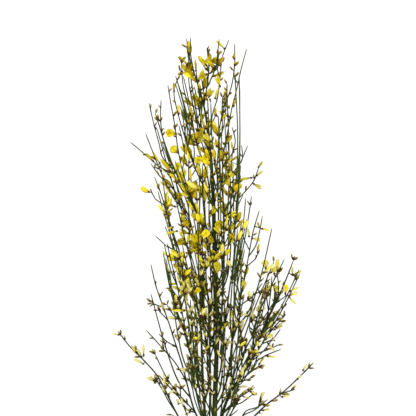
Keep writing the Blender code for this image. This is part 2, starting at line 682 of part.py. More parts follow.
def grow_branch():
    """The whole branch as rods, twigs, buds and flowers, before any of it is a mesh."""
    branch = Branch()
    place_woody_stem(branch)
    for name, shoot in SHOOTS.items():
        place_shoot(branch, name, shoot)
    for name, shoot in SHOOTS.items():
        for tip_height, *places in shoot["twigs"]:
            if not place_twig(branch, name, tip_height, places):
                print(f"{name}: no room for the twig from {places[0]}")
    for tip_height, *places in LEADER_TWIGS:
        if not place_twig(branch, "woody_stem", tip_height, places):
            print(f"woody_stem: no room for the twig from {places[0]}")
    for owner, flowers in BLOOMS.items():
        for form, width, base, tip in flowers:
            if not place_flower(branch, owner, form, width, base, tip, True):
                print(f"{owner}: no room for the bloom at {base}")
    for owner, flowers in SMALL_FLOWERS.items():
        for base, tip in flowers:
            if not place_flower(branch, owner, "closed", 3.6, base, tip, False):
                print(f"{owner}: no room for the flower at {base}")
    chance = random.Random(21)
    for name, (first, last, count, length) in FILL_TWIGS.items():
        fill_crown(branch, name, first, last, count, length, chance)
    for name in branch.mains:
        place_buds(branch, name, chance)
    return branch


def new_material(name, colour, roughness):
    material = bpy.data.materials.new(name)
    material.use_nodes = True
    shader = material.node_tree.nodes["Principled BSDF"]
    shader.inputs["Base Color"].default_value = colour
    shader.inputs["Roughness"].default_value = roughness
    shader.inputs["Metallic"].default_value = 0
    material.diffuse_color = colour
    return material


def tube_curve(name, points, radii, resolution, collection):
    """A tapering rod as a curve with a round bevel."""
    curve = bpy.data.curves.new(name, "CURVE")
    curve.dimensions = "3D"
    curve.bevel_depth = MM
    curve.bevel_resolution = resolution
    curve.use_fill_caps = True
    spline = curve.splines.new("POLY")
    spline.points.add(len(points) - 1)
    for point, place, radius in zip(spline.points, points, radii):
        point.co = (*(place * MM), 1)
        point.radius = radius
    tube = bpy.data.objects.new(name, curve)
    collection.objects.link(tube)
    return tube


def mesh_of(tube):
    """The curve's tube as a closed mesh object in the same place."""
    graph = bpy.context.evaluated_depsgraph_get()
    mesh = bpy.data.meshes.new_from_object(tube.evaluated_get(graph))
    shape = bmesh.new()
    shape.from_mesh(mesh)
    bmesh.ops.remove_doubles(shape, verts=shape.verts, dist=0.00001)
    bmesh.ops.recalc_face_normals(shape, faces=shape.faces)
    shape.to_mesh(mesh)
    shape.free()
    solid = bpy.data.objects.new(tube.name, mesh)
    solid.matrix_world = tube.matrix_world
    for collection in tube.users_collection:
        collection.objects.link(solid)
    bpy.data.objects.remove(tube)
    return solid


def frame_along(start, forward):
    """A matrix with +Z along forward and +Y as nearly up as it can be."""
    forward = Vector(forward).normalized()
    sideways = forward.cross(Vector((0, 0, 1)))
    if sideways.length < 0.01:
        sideways = Vector((1, 0, 0))
    sideways.normalize()
    up = sideways.cross(forward)
    turned = Matrix((-sideways, up, forward)).transposed().to_4x4()
    return Matrix.Translation(Vector(start) * MM) @ turned


def shape_object(name, shape, matrix, collection):
    bmesh.ops.triangulate(shape, faces=shape.faces)
    bmesh.ops.recalc_face_normals(shape, faces=shape.faces)
    mesh = bpy.data.meshes.new(name)
    shape.to_mesh(mesh)
    shape.free()
    mesh.transform(matrix)
    solid = bpy.data.objects.new(name, mesh)
    collection.objects.link(solid)
    return solid


def add_spindle(shape, sides, radii, length, tip_length):
    """A cone that widens from its root, closed by a point or, with no tip, by a flat end."""
    made = bmesh.ops.create_cone(shape, cap_ends=True, segments=sides, radius1=radii[0] * MM,
                                 radius2=radii[1] * MM, depth=length * MM)
    bmesh.ops.translate(shape, verts=made["verts"], vec=(0, 0, 0.5 * length * MM))
    if tip_length:
        top = max(made["verts"], key=lambda vert: vert.co.z).co.z
        cap = [face for face in shape.faces if all(abs(vert.co.z - top) < 1e-7 for vert in face.verts)]
        poked = bmesh.ops.poke(shape, faces=cap)
        poked["verts"][0].co.z += tip_length * MM


def add_petal(shape, length, width, lift, cup, offset):
    """A thin petal with a pointed foot, widest past its middle, tilted by lift and cupped at its centre."""
    made = bmesh.ops.create_cone(shape, cap_ends=True, cap_tris=True, segments=6, radius1=1, radius2=1, depth=1)
    tilt = math.radians(lift)
    for vert in made["verts"]:
        across, along, side = vert.co.y, vert.co.x, vert.co.z
        share = (along + 1) / 2
        is_middle = math.hypot(across, along) < 0.1
        breadth = 1.15 if along > 0.1 else 0.62
        x = across * width / 2 * breadth
        z = 0.3 + share * (length - 0.3) + (0.12 * length if is_middle else 0)
        y = side * PETAL_THICK + offset + (cup if is_middle else 0)
        vert.co = (x * MM, (y * math.cos(tilt) + z * math.sin(tilt)) * MM,
                   (z * math.cos(tilt) - y * math.sin(tilt)) * MM)


def flower_solids(name, flower, collection):
    """The petals of one flower: the keel, and the banner that stands over it; a fork has two wings too."""
    form, width, start, end = flower
    length = float(np.linalg.norm(end - start))
    matrix = frame_along(start, end - start)
    solids = []
    keel = bmesh.new()
    thick = 0.3 * width if form == "closed" else 0.2 * width
    half = 0.5 * length * KEEL_REACH[form]
    add_spindle(keel, 4, (1.0, max(thick, 1.1)), half, half)
    solids.append(shape_object(f"{name}_keel", keel, matrix, collection))
    banner = bmesh.new()
    add_petal(banner, length, width, *PETAL_LIFT[form], 0.3)
    solids.append(shape_object(f"{name}_banner", banner, matrix, collection))
    if form == "fork":
        for side in (-1, 1):
            wing = bmesh.new()
            add_petal(wing, 0.9 * length, 0.5 * width, -6, 0.5, 0)
            turned = matrix @ Matrix.Rotation(side * math.radians(16), 4, "Y")
            solids.append(shape_object(f"{name}_wing", wing, turned, collection))
    return solids


def bud_solid(name, root, forward, length, collection):
    bud = bmesh.new()
    add_spindle(bud, 3, (BUD_ROOT, BUD_RADIUS), 0.62 * length, 0.38 * length)
    return shape_object(name, bud, frame_along(root, forward), collection)


def join_solids(name, solids, collection):
    """One body from overlapping solids, by one union over a collection of all but the first."""
    base = solids[0]
    base.name = name
    if len(solids) > 1:
        joined = bpy.data.collections.new(f"{name}_joined")
        bpy.context.scene.collection.children.link(joined)
        for solid in solids[1:]:
            for home in list(solid.users_collection):
                home.objects.unlink(solid)
            joined.objects.link(solid)
        union = base.modifiers.new("union", "BOOLEAN")
        union.operation = "UNION"
        union.operand_type = "COLLECTION"
        union.collection = joined
        union.solver = "EXACT"
        bpy.context.view_layer.update()
        graph = bpy.context.evaluated_depsgraph_get()
        mesh = bpy.data.meshes.new_from_object(base.evaluated_get(graph))
        base.modifiers.clear()
        base.data = mesh
        for solid in solids[1:]:
            bpy.data.objects.remove(solid)
        bpy.data.collections.remove(joined)
    for home in list(base.users_collection):
        home.objects.unlink(base)
    collection.objects.link(base)
    return base


def build_shoot(name, pieces, material, workshop, collection):
    tubes = []
    for number, piece in enumerate(pieces):
        if piece[0] in ("stem", "twig"):
            resolution = 2 if piece[0] == "stem" else 0
            tubes.append(tube_curve(f"{name}_twig_{number}", piece[1], piece[2], resolution, workshop))
    bpy.context.view_layer.update()
    solids = [mesh_of(tube) for tube in tubes]
    for number, piece in enumerate(pieces):
        if piece[0] == "bud":
            solids.append(bud_solid(f"{name}_bud_{number}", *piece[1:], workshop))
    shoot = join_solids(name, solids, collection)
    shoot.data.materials.clear()
    shoot.data.materials.append(material)
    shoot.data.shade_smooth()
    return shoot


def cut_flat(stem, cutters):
    """The flat spot under the cut end, on which the branch rests."""
    mesh = bpy.data.meshes.new("resting_flat_cutter")
    block = bmesh.new()
    bmesh.ops.create_cube(block, size=1)
    bmesh.ops.scale(block, verts=block.verts, vec=Vector(FLAT_BLOCK) * MM)
    bmesh.ops.translate(block, verts=block.verts, vec=(0, 30 * MM, -0.5 * FLAT_BLOCK[2] * MM))
    block.to_mesh(mesh)
    block.free()
    cutter = bpy.data.objects.new("resting_flat_cutter", mesh)
    cutter.hide_render = True
    cutter.display_type = "WIRE"
    cutters.objects.link(cutter)
    cut = stem.modifiers.new("resting flat", "BOOLEAN")
    cut.operation = "DIFFERENCE"
    cut.object = cutter
    cut.solver = "EXACT"


def main():
    for old in list(bpy.data.objects):
        bpy.data.objects.remove(old)
    home = bpy.context.scene.collection
    collection = bpy.data.collections.new("dried_broom_bloom")
    cutters = bpy.data.collections.new("cutters")
    workshop = bpy.data.collections.new("workshop")
    for each in (collection, cutters, workshop):
        home.children.link(each)
    branch = grow_branch()
    stem_bark = new_material("stem_bark", STEM_GREEN, 0.75)
    for name, pieces in branch.pieces.items():
        shoot_bark = stem_bark if name == "woody_stem" else new_material(f"{name}_bark", SHOOT_GREEN, 0.65)
        build_shoot(name, pieces, shoot_bark, workshop, collection)
    cut_flat(bpy.data.objects["woody_stem"], cutters)
    for number, flower in enumerate(branch.blooms, 1):
        name = f"bloom_{number:02d}"
        bloom = join_solids(name, flower_solids(name, flower, workshop), collection)
        bloom.data.materials.clear()
        bloom.data.materials.append(new_material(f"{name}_petals", PETAL_YELLOW, 0.6))
    bpy.data.collections.remove(workshop)
    kinds = [piece[0] for pieces in branch.pieces.values() for piece in pieces]
    print(f"{kinds.count('twig')} twigs and flowers, {kinds.count('bud')} buds, {len(branch.blooms)} blooms")


main()
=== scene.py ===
# Dried broom bloom, dressed: one cut flowering branch lying on a pale floor, seen from straight above
# Routes are in millimetres: x across the branch, y along it, z above the floor
import json
import math
import random

import bmesh
import bpy
import numpy as np
from mathutils import Matrix, Vector

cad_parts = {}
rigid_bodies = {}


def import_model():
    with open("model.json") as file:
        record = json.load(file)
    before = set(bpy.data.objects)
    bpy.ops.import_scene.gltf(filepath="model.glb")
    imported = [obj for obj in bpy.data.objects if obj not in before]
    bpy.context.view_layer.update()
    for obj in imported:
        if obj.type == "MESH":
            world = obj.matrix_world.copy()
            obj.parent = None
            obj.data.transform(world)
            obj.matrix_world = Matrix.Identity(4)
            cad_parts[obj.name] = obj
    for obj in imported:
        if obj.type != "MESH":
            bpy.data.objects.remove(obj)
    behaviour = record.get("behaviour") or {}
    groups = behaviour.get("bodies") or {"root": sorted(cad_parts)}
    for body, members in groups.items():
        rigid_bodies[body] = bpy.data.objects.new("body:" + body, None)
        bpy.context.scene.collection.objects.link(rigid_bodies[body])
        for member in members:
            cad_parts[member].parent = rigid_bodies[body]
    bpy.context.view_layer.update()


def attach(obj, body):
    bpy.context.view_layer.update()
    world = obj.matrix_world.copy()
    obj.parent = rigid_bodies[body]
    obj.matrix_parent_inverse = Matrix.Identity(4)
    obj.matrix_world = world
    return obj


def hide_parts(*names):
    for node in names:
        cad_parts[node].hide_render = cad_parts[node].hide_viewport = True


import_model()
mm = 0.001
print("frame loaded")


# Woody stem: its route, then its radius at places along the branch
stemRoute = [
    (-1, -20, 4.7), (0, 5, 4.6), (1, 35, 4.7), (2, 60, 5.6), (5, 120, 8.5), (8, 180, 13), (10, 240, 19),
    (12, 290, 25), (10, 340, 31), (8, 390, 36), (7, 440, 41), (5, 480, 44), (3, 510, 46), (-1, 535, 47),
    (-3, 560, 48), (-9, 582, 48), (-16, 605, 47), (-23, 627, 45), (-27, 652, 42),
]
stemRadii = [
    (-20, 5.5), (0, 5.5), (60, 5.2), (120, 4.6), (180, 3.7), (240, 3.3), (440, 2.9), (510, 2.1),
    (560, 1.6), (590, 1.1), (630, 0.9), (655, 0.7),
]

# How far apart pieces stay and how closely their curves are drawn, in mm
seatGap = 0.35
clearance = 0.6
leastRoom = 0.2
nearBy = 12
allRoom = 99.0
routeStep = 26
twigStep = 18
tiny = 1e-9

# The foot of a side shoot
footStandOff = 0.8         # how far it stands off its parent, as a share of its radius
footTaper = (0.25, 0.75)   # a quarter of the way along, how thick the shoot still is
footRise = 5               # how soon a raised shoot reaches its full height
floorGap = 0.05            # its least gap to the floor in mm

# How much of the clearance flowers and buds need
flowerRoom = 0.6
budRoom = 0.5

# Room is found by raising or lowering: step in mm, and how many steps each way
shootTries = (2.5, 8)
twigTries = (3, 12)
twigBow = 1.5       # above 1 a twig climbs most near its root
lowestTip = 0.85
lowTip = 4          # a tip planned below this height is raised by lowTipRise at most
lowTipRise = 6
flowerBases = (2, -2, 4, -4, 7, -7, 10, -10, 13, -13, 17, -17, 21, -21)
flowerSlopes = (2, -3, 6, -7, 10, -10)
lowestFlower = 3
turnsToTry = range(0, 360, 60)

# Small parts in mm. The rods of a flower's petals are shares of its width, and they lift by some degrees
budLength = 5.5
budRadius = 1.15
calyxLength = 2.4
calyxRadius = 1.35
stalkRadius = 0.6
shortCalyx = 0.5    # the share of its length that is left where there is little room
shortestStalk = 0.9
stalkKink = -0.3    # how far back a calyx may start behind the root of its stalk
budSeat = 1.5
budLift = 0.2
smallFlowerWidth = 3.6
petalSides = (-0.28, 0.28)
petalFoot = 0.4
petalRadius = 0.25
petalSkip = 1.5     # this much of a bloom's foot may come close to its own calyx
petalLift = {"closed": 5, "open": 12, "fork": 24}

# Seeds: rule twigs and buds, then the look of what is set on the twigs
ruleSeed = 21
dressingSeed = 5

# Each side shoot: where it leaves its parent, which way round the parent (0 is +X, 90 is up), its route,
# its radius at the foot and at the tip, and its own twigs: height of the tip, then points from the shoot
shoots = {
    "left_low_spray": {
        "parent": "woody_stem", "foot": 122, "turn": 190, "radii": (1.9, 0.8),
        "route": [(-20, 148, 6), (-39, 180, 5), (-52, 206, 4), (-65, 230, 3), (-80, 247, 2.4),
                  (-100, 267, 1.7), (-114, 285, 1.0)],
        "twigs": [],
    },
    "right_low_spray": {
        "parent": "woody_stem", "foot": 110, "turn": 350, "radii": (1.9, 0.8),
        "route": [(15, 128, 4.5), (24, 142, 3.5), (40, 160, 2.5), (59, 178, 2.2), (79, 197, 2),
                  (92, 206, 1.8), (105, 217, 1.6), (115, 227, 1.4), (133, 245, 1.0)],
        "twigs": [
            (9, (92, 206), (104, 209), (110, 212)),
            (8, (35, 156), (44, 180), (55, 188), (64, 190), (75, 199)),
            (14, (64, 190), (65, 197), (66, 204)),
        ],
    },
    "left_tall_shoot": {
        "parent": "woody_stem", "foot": 160, "turn": 195, "radii": (1.7, 0.7),
        "route": [(2, 184, 7), (3, 225, 7), (2, 262, 8), (2, 300, 9), (2, 319, 10), (-4, 346, 11),
                  (-10, 372, 12), (-17, 397, 14), (-22, 422, 16), (-31, 445, 18), (-40, 471, 18),
                  (-46, 492, 18), (-51, 507, 19), (-58, 534, 20), (-60, 560, 21), (-59, 576, 22)],
        "twigs": [
            (0.9, (-45, 484), (-60, 491), (-70, 499), (-79, 508), (-89, 515), (-98, 523)),
            (8, (-34, 451), (-45, 465), (-55, 474), (-65, 485), (-72, 496)),
            (30, (-46, 491), (-56, 501), (-60, 515), (-64, 531), (-69, 547), (-71, 560), (-74, 572)),
        ],
    },
    "right_main_shoot": {
        "parent": "woody_stem", "foot": 131, "turn": 350, "radii": (3.1, 0.9),
        "route": [(15, 154, 8), (18, 180, 8), (23, 195, 9), (30, 211, 10), (41, 227, 12), (48, 245, 14),
                  (59, 267, 18), (71, 292, 22), (84, 320, 26), (91, 332, 28), (96, 346, 29),
                  (102, 360, 29), (107, 374, 28)],
        "twigs": [
            (45, (88, 329), (88, 350), (86, 362)),
            (34, (84, 320), (91, 325), (99, 331)),
            (52, (54, 257), (57, 277), (59, 290), (62, 305), (64, 316), (67, 326), (69, 335)),
            (40, (70, 291), (74, 303), (76, 315), (78, 329), (79, 341), (80, 355)),
            (30, (77, 305), (82, 318), (83, 330), (84, 342)),
            (38, (66, 282), (78, 297), (83, 305), (91, 315)),
        ],
    },
    "left_outer_shoot": {
        "parent": "woody_stem", "foot": 138, "turn": 170, "radii": (1.7, 0.8),
        "route": [(-6, 159, 9), (-15, 179, 9), (-21, 197, 10), (-26, 217, 11), (-31, 237, 12),
                  (-37, 257, 13), (-43, 275, 14), (-53, 307, 13), (-61, 327, 11), (-69, 354, 9),
                  (-72, 369, 8)],
        "twigs": [
            (36, (-16, 182), (-26, 194), (-36, 205), (-47, 219), (-56, 235), (-66, 256)),
            (26, (-16, 182), (-30, 189), (-34, 202), (-35, 216)),
            (3, (-27, 220), (-37, 239), (-47, 252), (-60, 266), (-72, 280), (-78, 286)),
            (20, (-40, 265), (-52, 272), (-62, 282)),
            (18, (-50, 299), (-57, 305), (-62, 311)),
            (5, (-56, 315), (-66, 321), (-71, 320)),
        ],
    },
    "left_long_shoot": {
        "parent": "woody_stem", "foot": 106, "turn": 110, "radii": (2.8, 0.7),
        "route": [(-1, 144, 17), (-4, 180, 21), (-6, 212, 24), (-8, 262, 27), (-10, 300, 30),
                  (-17, 325, 32), (-23, 352, 34), (-31, 372, 36), (-42, 404, 38), (-52, 434, 40),
                  (-61, 465, 40), (-67, 479, 40)],
        "twigs": [
            (28, (-35, 384), (-54, 393), (-62, 401), (-66, 405)),
            (30, (-56, 443), (-67, 452), (-73, 464)),
        ],
    },
    "left_inner_shoot": {
        "parent": "woody_stem", "foot": 150, "turn": 100, "radii": (1.8, 0.7),
        "route": [(-1, 164, 26), (-8, 180, 31), (-14, 205, 38), (-17, 225, 44), (-19, 244, 49),
                  (-25, 272, 56), (-31, 302, 63), (-36, 330, 68), (-41, 355, 72), (-47, 377, 76),
                  (-51, 396, 78)],
        "twigs": [
            (66, (-31, 299), (-41, 304), (-46, 311), (-51, 319)),
            (60, (-21, 254), (-27, 277), (-24, 293), (-27, 310)),
        ],
    },
    "right_tall_shoot": {
        "parent": "woody_stem", "foot": 278, "turn": 20, "radii": (1.6, 0.7),
        "route": [(17, 302, 31), (18, 325, 37), (19, 344, 42), (20, 372, 48), (20, 400, 55),
                  (20, 427, 60), (19, 450, 64), (18, 472, 67), (18, 494, 69), (20, 512, 71),
                  (23, 529, 73), (26, 542, 74), (30, 566, 76), (38, 597, 77), (44, 627, 77),
                  (48, 638, 76)],
        "twigs": [
            (82, (25, 540), (25, 559), (24, 566)),
            (60, (19, 493), (30, 508), (34, 525), (32, 535), (30, 541)),
        ],
    },
    "right_inner_shoot": {
        "parent": "woody_stem", "foot": 258, "turn": 345, "radii": (1.6, 0.7),
        "route": [(18, 276, 21), (21, 297, 22), (24, 315, 22.5), (28, 347, 23), (31, 365, 24),
                  (33, 387, 25), (34, 422, 26), (36, 452, 26), (38, 467, 26), (40, 481, 26),
                  (41, 494, 25)],
        "twigs": [
            (0.9, (36, 450), (41, 456), (49, 463), (54, 469), (58, 475), (61, 481), (64, 491)),
            (42, (34, 412), (32, 430), (32, 450), (31, 470), (33, 486), (40, 494), (43, 503), (42, 519)),
        ],
    },
    "right_crown_shoot": {
        "parent": "woody_stem", "foot": 388, "turn": 60, "radii": (1.5, 0.7),
        "route": [(12, 406, 46), (13, 425, 55), (13, 444, 63), (12, 462, 71), (11, 481, 79),
                  (12, 497, 85), (13, 517, 90), (15, 545, 95), (20, 565, 98), (27, 584, 99),
                  (31, 600, 98), (33, 620, 96), (33, 644, 93)],
        "twigs": [
            (92, (16, 551), (17, 562), (18, 577)),
        ],
    },
    "left_crown_shoot": {
        "parent": "woody_stem", "foot": 374, "turn": 130, "radii": (1.5, 0.7),
        "route": [(2, 391, 43), (-3, 404, 48), (-9, 421, 56), (-16, 440, 63), (-20, 450, 66),
                  (-27, 470, 72), (-32, 487, 76), (-36, 505, 79), (-38, 517, 81), (-42, 547, 84),
                  (-48, 579, 85), (-50, 593, 84)],
        "twigs": [
            (60, (-13, 431), (-22, 448), (-29, 462), (-30, 475)),
        ],
    },
    "arched_shoot": {
        "parent": "woody_stem", "foot": 442, "turn": 100, "radii": (1.4, 0.7),
        "route": [(1, 457, 53), (-6, 466, 61), (-12, 480, 69), (-17, 492, 76), (-22, 505, 83),
                  (-26, 519, 90), (-31, 535, 96), (-37, 556, 101), (-41, 574, 103), (-42, 588, 103),
                  (-39, 602, 102), (-33, 610, 101)],
        "twigs": [
            (98, (-26, 519), (-29, 534), (-29, 545), (-32, 557)),
        ],
    },
    "crown_shoot_left": {
        "parent": "woody_stem", "foot": 462, "turn": 170, "radii": (1.3, 0.7),
        "route": [(0, 480, 50), (-6, 496, 54), (-10, 505, 57), (-13, 516, 60), (-19, 540, 64),
                  (-24, 563, 67), (-29, 583, 69), (-32, 600, 70), (-33, 622, 68)],
        "twigs": [
            (52, (-13, 515), (-17, 528), (-18, 540), (-24, 552)),
        ],
    },
    "crown_shoot_back": {
        "parent": "woody_stem", "foot": 500, "turn": 200, "radii": (1.2, 0.7),
        "route": [(-4, 513, 42), (-9, 525, 38), (-12, 540, 35), (-15, 550, 33), (-18, 565, 31),
                  (-22, 581, 29), (-24, 600, 28), (-25, 617, 28)],
        "twigs": [
            (20, (-14, 548), (-10, 562), (-12, 575)),
        ],
    },
    "crown_shoot_right": {
        "parent": "woody_stem", "foot": 531, "turn": 0, "radii": (1.2, 0.7),
        "route": [(3, 546, 51), (7, 561, 55), (11, 575, 60), (14, 588, 64), (15, 603, 66), (16, 619, 66),
                  (21, 640, 64), (26, 650, 62)],
        "twigs": [
            (60, (3, 546), (7, 552), (10, 556)),
        ],
    },
    "right_long_shoot": {
        "parent": "right_main_shoot", "foot": 204, "turn": 80, "radii": (1.6, 0.8),
        "route": [(29, 226, 20), (29, 244, 27), (30, 262, 33), (31, 277, 38), (35, 295, 44),
                  (39, 315, 50), (41, 330, 53), (45, 350, 56), (50, 375, 58), (54, 402, 60),
                  (59, 419, 61), (64, 437, 60)],
        "twigs": [
            (62, (52, 387), (48, 393), (43, 407), (41, 413)),
            (50, (49, 367), (59, 376), (63, 382), (65, 388)),
            (40, (40, 317), (51, 324), (57, 331), (62, 337), (68, 346)),
            (58, (57, 331), (67, 335), (72, 341), (74, 349), (75, 359)),
            (70, (41, 330), (34, 345), (30, 354), (28, 365)),
            (46, (43, 341), (41, 360), (40, 377), (38, 388), (35, 397)),
        ],
    },
    "right_outer_shoot": {
        "parent": "right_main_shoot", "foot": 236, "turn": 330, "radii": (1.5, 0.8),
        "route": [(56, 251, 12), (63, 261, 11), (70, 270, 10), (75, 279, 9), (80, 286, 8), (86, 293, 7),
                  (92, 299, 5), (98, 306, 3)],
        "twigs": [
            (18, (69, 269), (77, 270), (82, 275), (87, 282), (91, 288)),
            (1.2, (60, 257), (68, 259), (77, 262), (90, 268)),
        ],
    },
    "right_short_shoot": {
        "parent": "right_main_shoot", "foot": 220, "turn": 320, "radii": (1.1, 0.7),
        "route": [(45, 226, 10), (53, 234, 9), (59, 242, 8), (63, 252, 7), (65, 259, 6)],
        "twigs": [
            (3, (45, 226), (53, 229), (60, 236), (64, 241)),
            (3, (62, 246), (68, 250), (74, 255), (82, 258), (92, 262)),
        ],
    },
    "right_small_shoot": {
        "parent": "woody_stem", "foot": 149, "turn": 40, "radii": (1.3, 0.7),
        "route": [(16, 167, 19), (25, 181, 25), (28, 190, 28), (32, 196, 31), (41, 204, 36),
                  (51, 212, 40), (55, 213, 41)],
        "twigs": [
            (20, (29, 191), (37, 192), (47, 199), (55, 205)),
            (38, (27, 187), (31, 205), (36, 218), (42, 226), (52, 226)),
        ],
    },
}

# Twigs of the woody stem's own leader
leaderTwigs = [
    (56, (-4, 566), (-3, 579), (-2, 588), (0, 600), (1, 615), (1, 631), (0, 640)),
    (64, (-2, 590), (6, 606), (9, 614), (12, 625), (14, 634)),
    (40, (-4, 564), (-5, 581), (-6, 592), (-8, 601)),
    (38, (1, 520), (-6, 533), (-8, 545), (-11, 561), (-14, 578), (-17, 592)),
    (52, (-18, 611), (-22, 625), (-21, 641), (-22, 653)),
    (34, (8, 194), (16, 201), (26, 214)),
]

# Flowers: form, width, place of the base and of the tip across and along the branch
blooms = {
    "woody_stem": [
        ("open", 8, (14, 624), (4, 625)),
        ("open", 8, (-2, 607), (-11, 604)),
        ("fork", 7, (4, 515), (-3, 527)),
        ("closed", 5, (8, 448), (-2, 447)),
        ("open", 9, (10, 357), (12, 374)),
    ],
    "left_low_spray": [
        ("closed", 4.5, (-82, 244), (-94, 251)),
        ("closed", 4, (-84, 253), (-89, 264)),
    ],
    "left_tall_shoot": [
        ("closed", 4.5, (-69, 499), (-78, 510)),
        ("closed", 6, (-47, 486), (-59, 503)),
        ("closed", 5, (-45, 466), (-54, 478)),
        ("closed", 5, (-42, 442), (-55, 447)),
        ("closed", 4, (-8, 341), (-3, 349)),
    ],
    "left_long_shoot": [
        ("closed", 5.5, (-54, 435), (-62, 445)),
        ("closed", 4, (-39, 411), (-53, 408)),
        ("open", 7, (-22, 339), (-24, 351)),
        ("closed", 5, (-20, 340), (-9, 335)),
        ("closed", 4.5, (-10, 274), (-21, 277)),
    ],
    "left_inner_shoot": [
        ("closed", 5, (-35, 379), (-46, 386)),
        ("closed", 4, (-30, 312), (-44, 313)),
        ("closed", 5, (-27, 316), (-27, 330)),
    ],
    "left_crown_shoot": [
        ("open", 9, (-40, 532), (-53, 534)),
        ("open", 9, (-38, 509), (-47, 517)),
        ("closed", 4.5, (-34, 473), (-26, 487)),
        ("fork", 9, (-19, 436), (-19, 449)),
    ],
    "arched_shoot": [
        ("closed", 6, (-32, 609), (-21, 601)),
        ("closed", 4, (-23, 497), (-25, 511)),
    ],
    "crown_shoot_left": [
        ("closed", 6, (-9, 479), (-13, 497)),
    ],
    "crown_shoot_right": [
        ("closed", 4, (20, 639), (10, 650)),
        ("fork", 6, (15, 592), (10, 607)),
    ],
    "right_crown_shoot": [
        ("closed", 6, (8, 499), (8, 514)),
    ],
    "right_tall_shoot": [
        ("closed", 6, (20, 520), (31, 529)),
        ("closed", 6.5, (17, 380), (20, 396)),
    ],
    "right_inner_shoot": [
        ("open", 8, (28, 467), (21, 479)),
        ("closed", 4.5, (54, 478), (38, 476)),
        ("fork", 6, (58, 470), (69, 464)),
    ],
    "right_long_shoot": [
        ("open", 8, (72, 365), (71, 376)),
        ("fork", 6, (56, 402), (67, 400)),
    ],
    "right_main_shoot": [
        ("closed", 6.5, (87, 362), (88, 377)),
        ("open", 6, (97, 333), (98, 345)),
        ("closed", 6, (103, 331), (113, 334)),
    ],
}

# Smaller flowers, grown together with their shoot
smallFlowers = {
    "woody_stem": [
        ((-26, 619), (-35, 630)), ((-15, 612), (-16, 626)), ((-3, 614), (-8, 624)),
        ((-9, 588), (-12, 597)), ((-4, 539), (-7, 552)), ((-3, 501), (-4, 511)), ((-1, 466), (-5, 477)),
        ((9, 450), (10, 461)), ((11, 384), (1, 388)), ((18, 235), (19, 249)),
    ],
    "left_low_spray": [((-81, 255), (-81, 270)), ((-67, 220), (-74, 229)), ((-54, 206), (-59, 216))],
    "left_outer_shoot": [((-54, 217), (-56, 234)), ((-49, 207), (-42, 212)), ((-37, 194), (-39, 201))],
    "left_tall_shoot": [
        ((-61, 497), (-71, 512)), ((-50, 466), (-61, 474)), ((-17, 392), (-22, 405)),
        ((-11, 388), (-24, 386)), ((3, 304), (10, 311)), ((-4, 315), (-7, 325)), ((4, 312), (6, 321)),
        ((0, 261), (-8, 271)),
    ],
    "left_long_shoot": [
        ((-52, 434), (-43, 440)), ((-44, 416), (-51, 414)), ((-30, 401), (-36, 412)),
        ((-16, 347), (-21, 357)), ((-10, 282), (-22, 285)), ((-6, 305), (-12, 320)),
    ],
    "left_inner_shoot": [
        ((-50, 380), (-57, 386)), ((-48, 360), (-53, 370)), ((-40, 346), (-47, 345)),
        ((-29, 342), (-36, 352)),
    ],
    "left_crown_shoot": [((-36, 479), (-44, 494)), ((-22, 455), (-30, 457))],
    "arched_shoot": [((-42, 585), (-43, 596)), ((-36, 557), (-38, 569)), ((-21, 472), (-22, 490))],
    "crown_shoot_left": [((-19, 554), (-22, 568)), ((-9, 505), (-12, 520))],
    "crown_shoot_back": [((-7, 530), (-9, 540)), ((-24, 612), (-31, 614))],
    "crown_shoot_right": [((9, 577), (13, 590)), ((9, 556), (10, 565))],
    "right_crown_shoot": [((23, 574), (22, 587)), ((17, 549), (23, 558)), ((11, 517), (9, 527))],
    "right_tall_shoot": [
        ((26, 565), (20, 571)), ((32, 567), (34, 576)), ((23, 414), (24, 432)), ((32, 510), (29, 524)),
    ],
    "right_inner_shoot": [
        ((29, 499), (39, 505)), ((34, 482), (40, 489)), ((28, 466), (30, 452)), ((38, 424), (26, 433)),
        ((24, 297), (16, 286)), ((64, 492), (69, 499)), ((62, 481), (70, 487)),
    ],
    "right_long_shoot": [
        ((31, 300), (29, 317)), ((50, 306), (42, 309)), ((64, 416), (62, 423)), ((68, 414), (77, 412)),
        ((51, 405), (50, 415)), ((62, 385), (63, 396)), ((43, 339), (44, 351)), ((72, 360), (66, 357)),
    ],
    "right_main_shoot": [
        ((104, 336), (115, 342)), ((102, 328), (111, 319)), ((106, 357), (106, 367)),
        ((108, 356), (118, 362)), ((56, 300), (55, 317)), ((56, 255), (52, 266)), ((49, 246), (57, 249)),
        ((83, 358), (85, 370)),
    ],
    "right_outer_shoot": [
        ((76, 269), (84, 259)), ((78, 286), (83, 301)), ((86, 290), (95, 296)), ((94, 304), (84, 311)),
    ],
    "right_short_shoot": [((65, 244), (72, 253))],
    "right_low_spray": [((94, 202), (104, 204)), ((120, 236), (125, 244))],
}

# Rule twigs that fill the crown: first and last place along the shoot, how many, and their length in mm
fillTwigs = {
    "woody_stem": (230, 500, 7, 34),
    "left_tall_shoot": (230, 430, 5, 34),
    "left_long_shoot": (220, 400, 5, 32),
    "left_inner_shoot": (220, 370, 4, 26),
    "left_crown_shoot": (400, 500, 2, 30),
    "arched_shoot": (460, 520, 2, 26),
    "right_tall_shoot": (300, 480, 5, 34),
    "right_inner_shoot": (290, 450, 4, 30),
    "right_crown_shoot": (410, 520, 3, 30),
    "right_long_shoot": (235, 340, 4, 28),
    "right_main_shoot": (205, 330, 4, 24),
    "right_outer_shoot": (255, 290, 2, 18),
}

# Buds: spacing along a shoot and along its twigs, and the length near a shoot's foot that stays bare
budSpacing = 40
budSpacingTwig = 27
bareFoot = 60


def stepsAlong(points):
    # how far along a line each of its points lies
    lengths = np.linalg.norm(np.diff(points, axis=0), axis=1)
    return np.concatenate([[0], lengths.cumsum()])


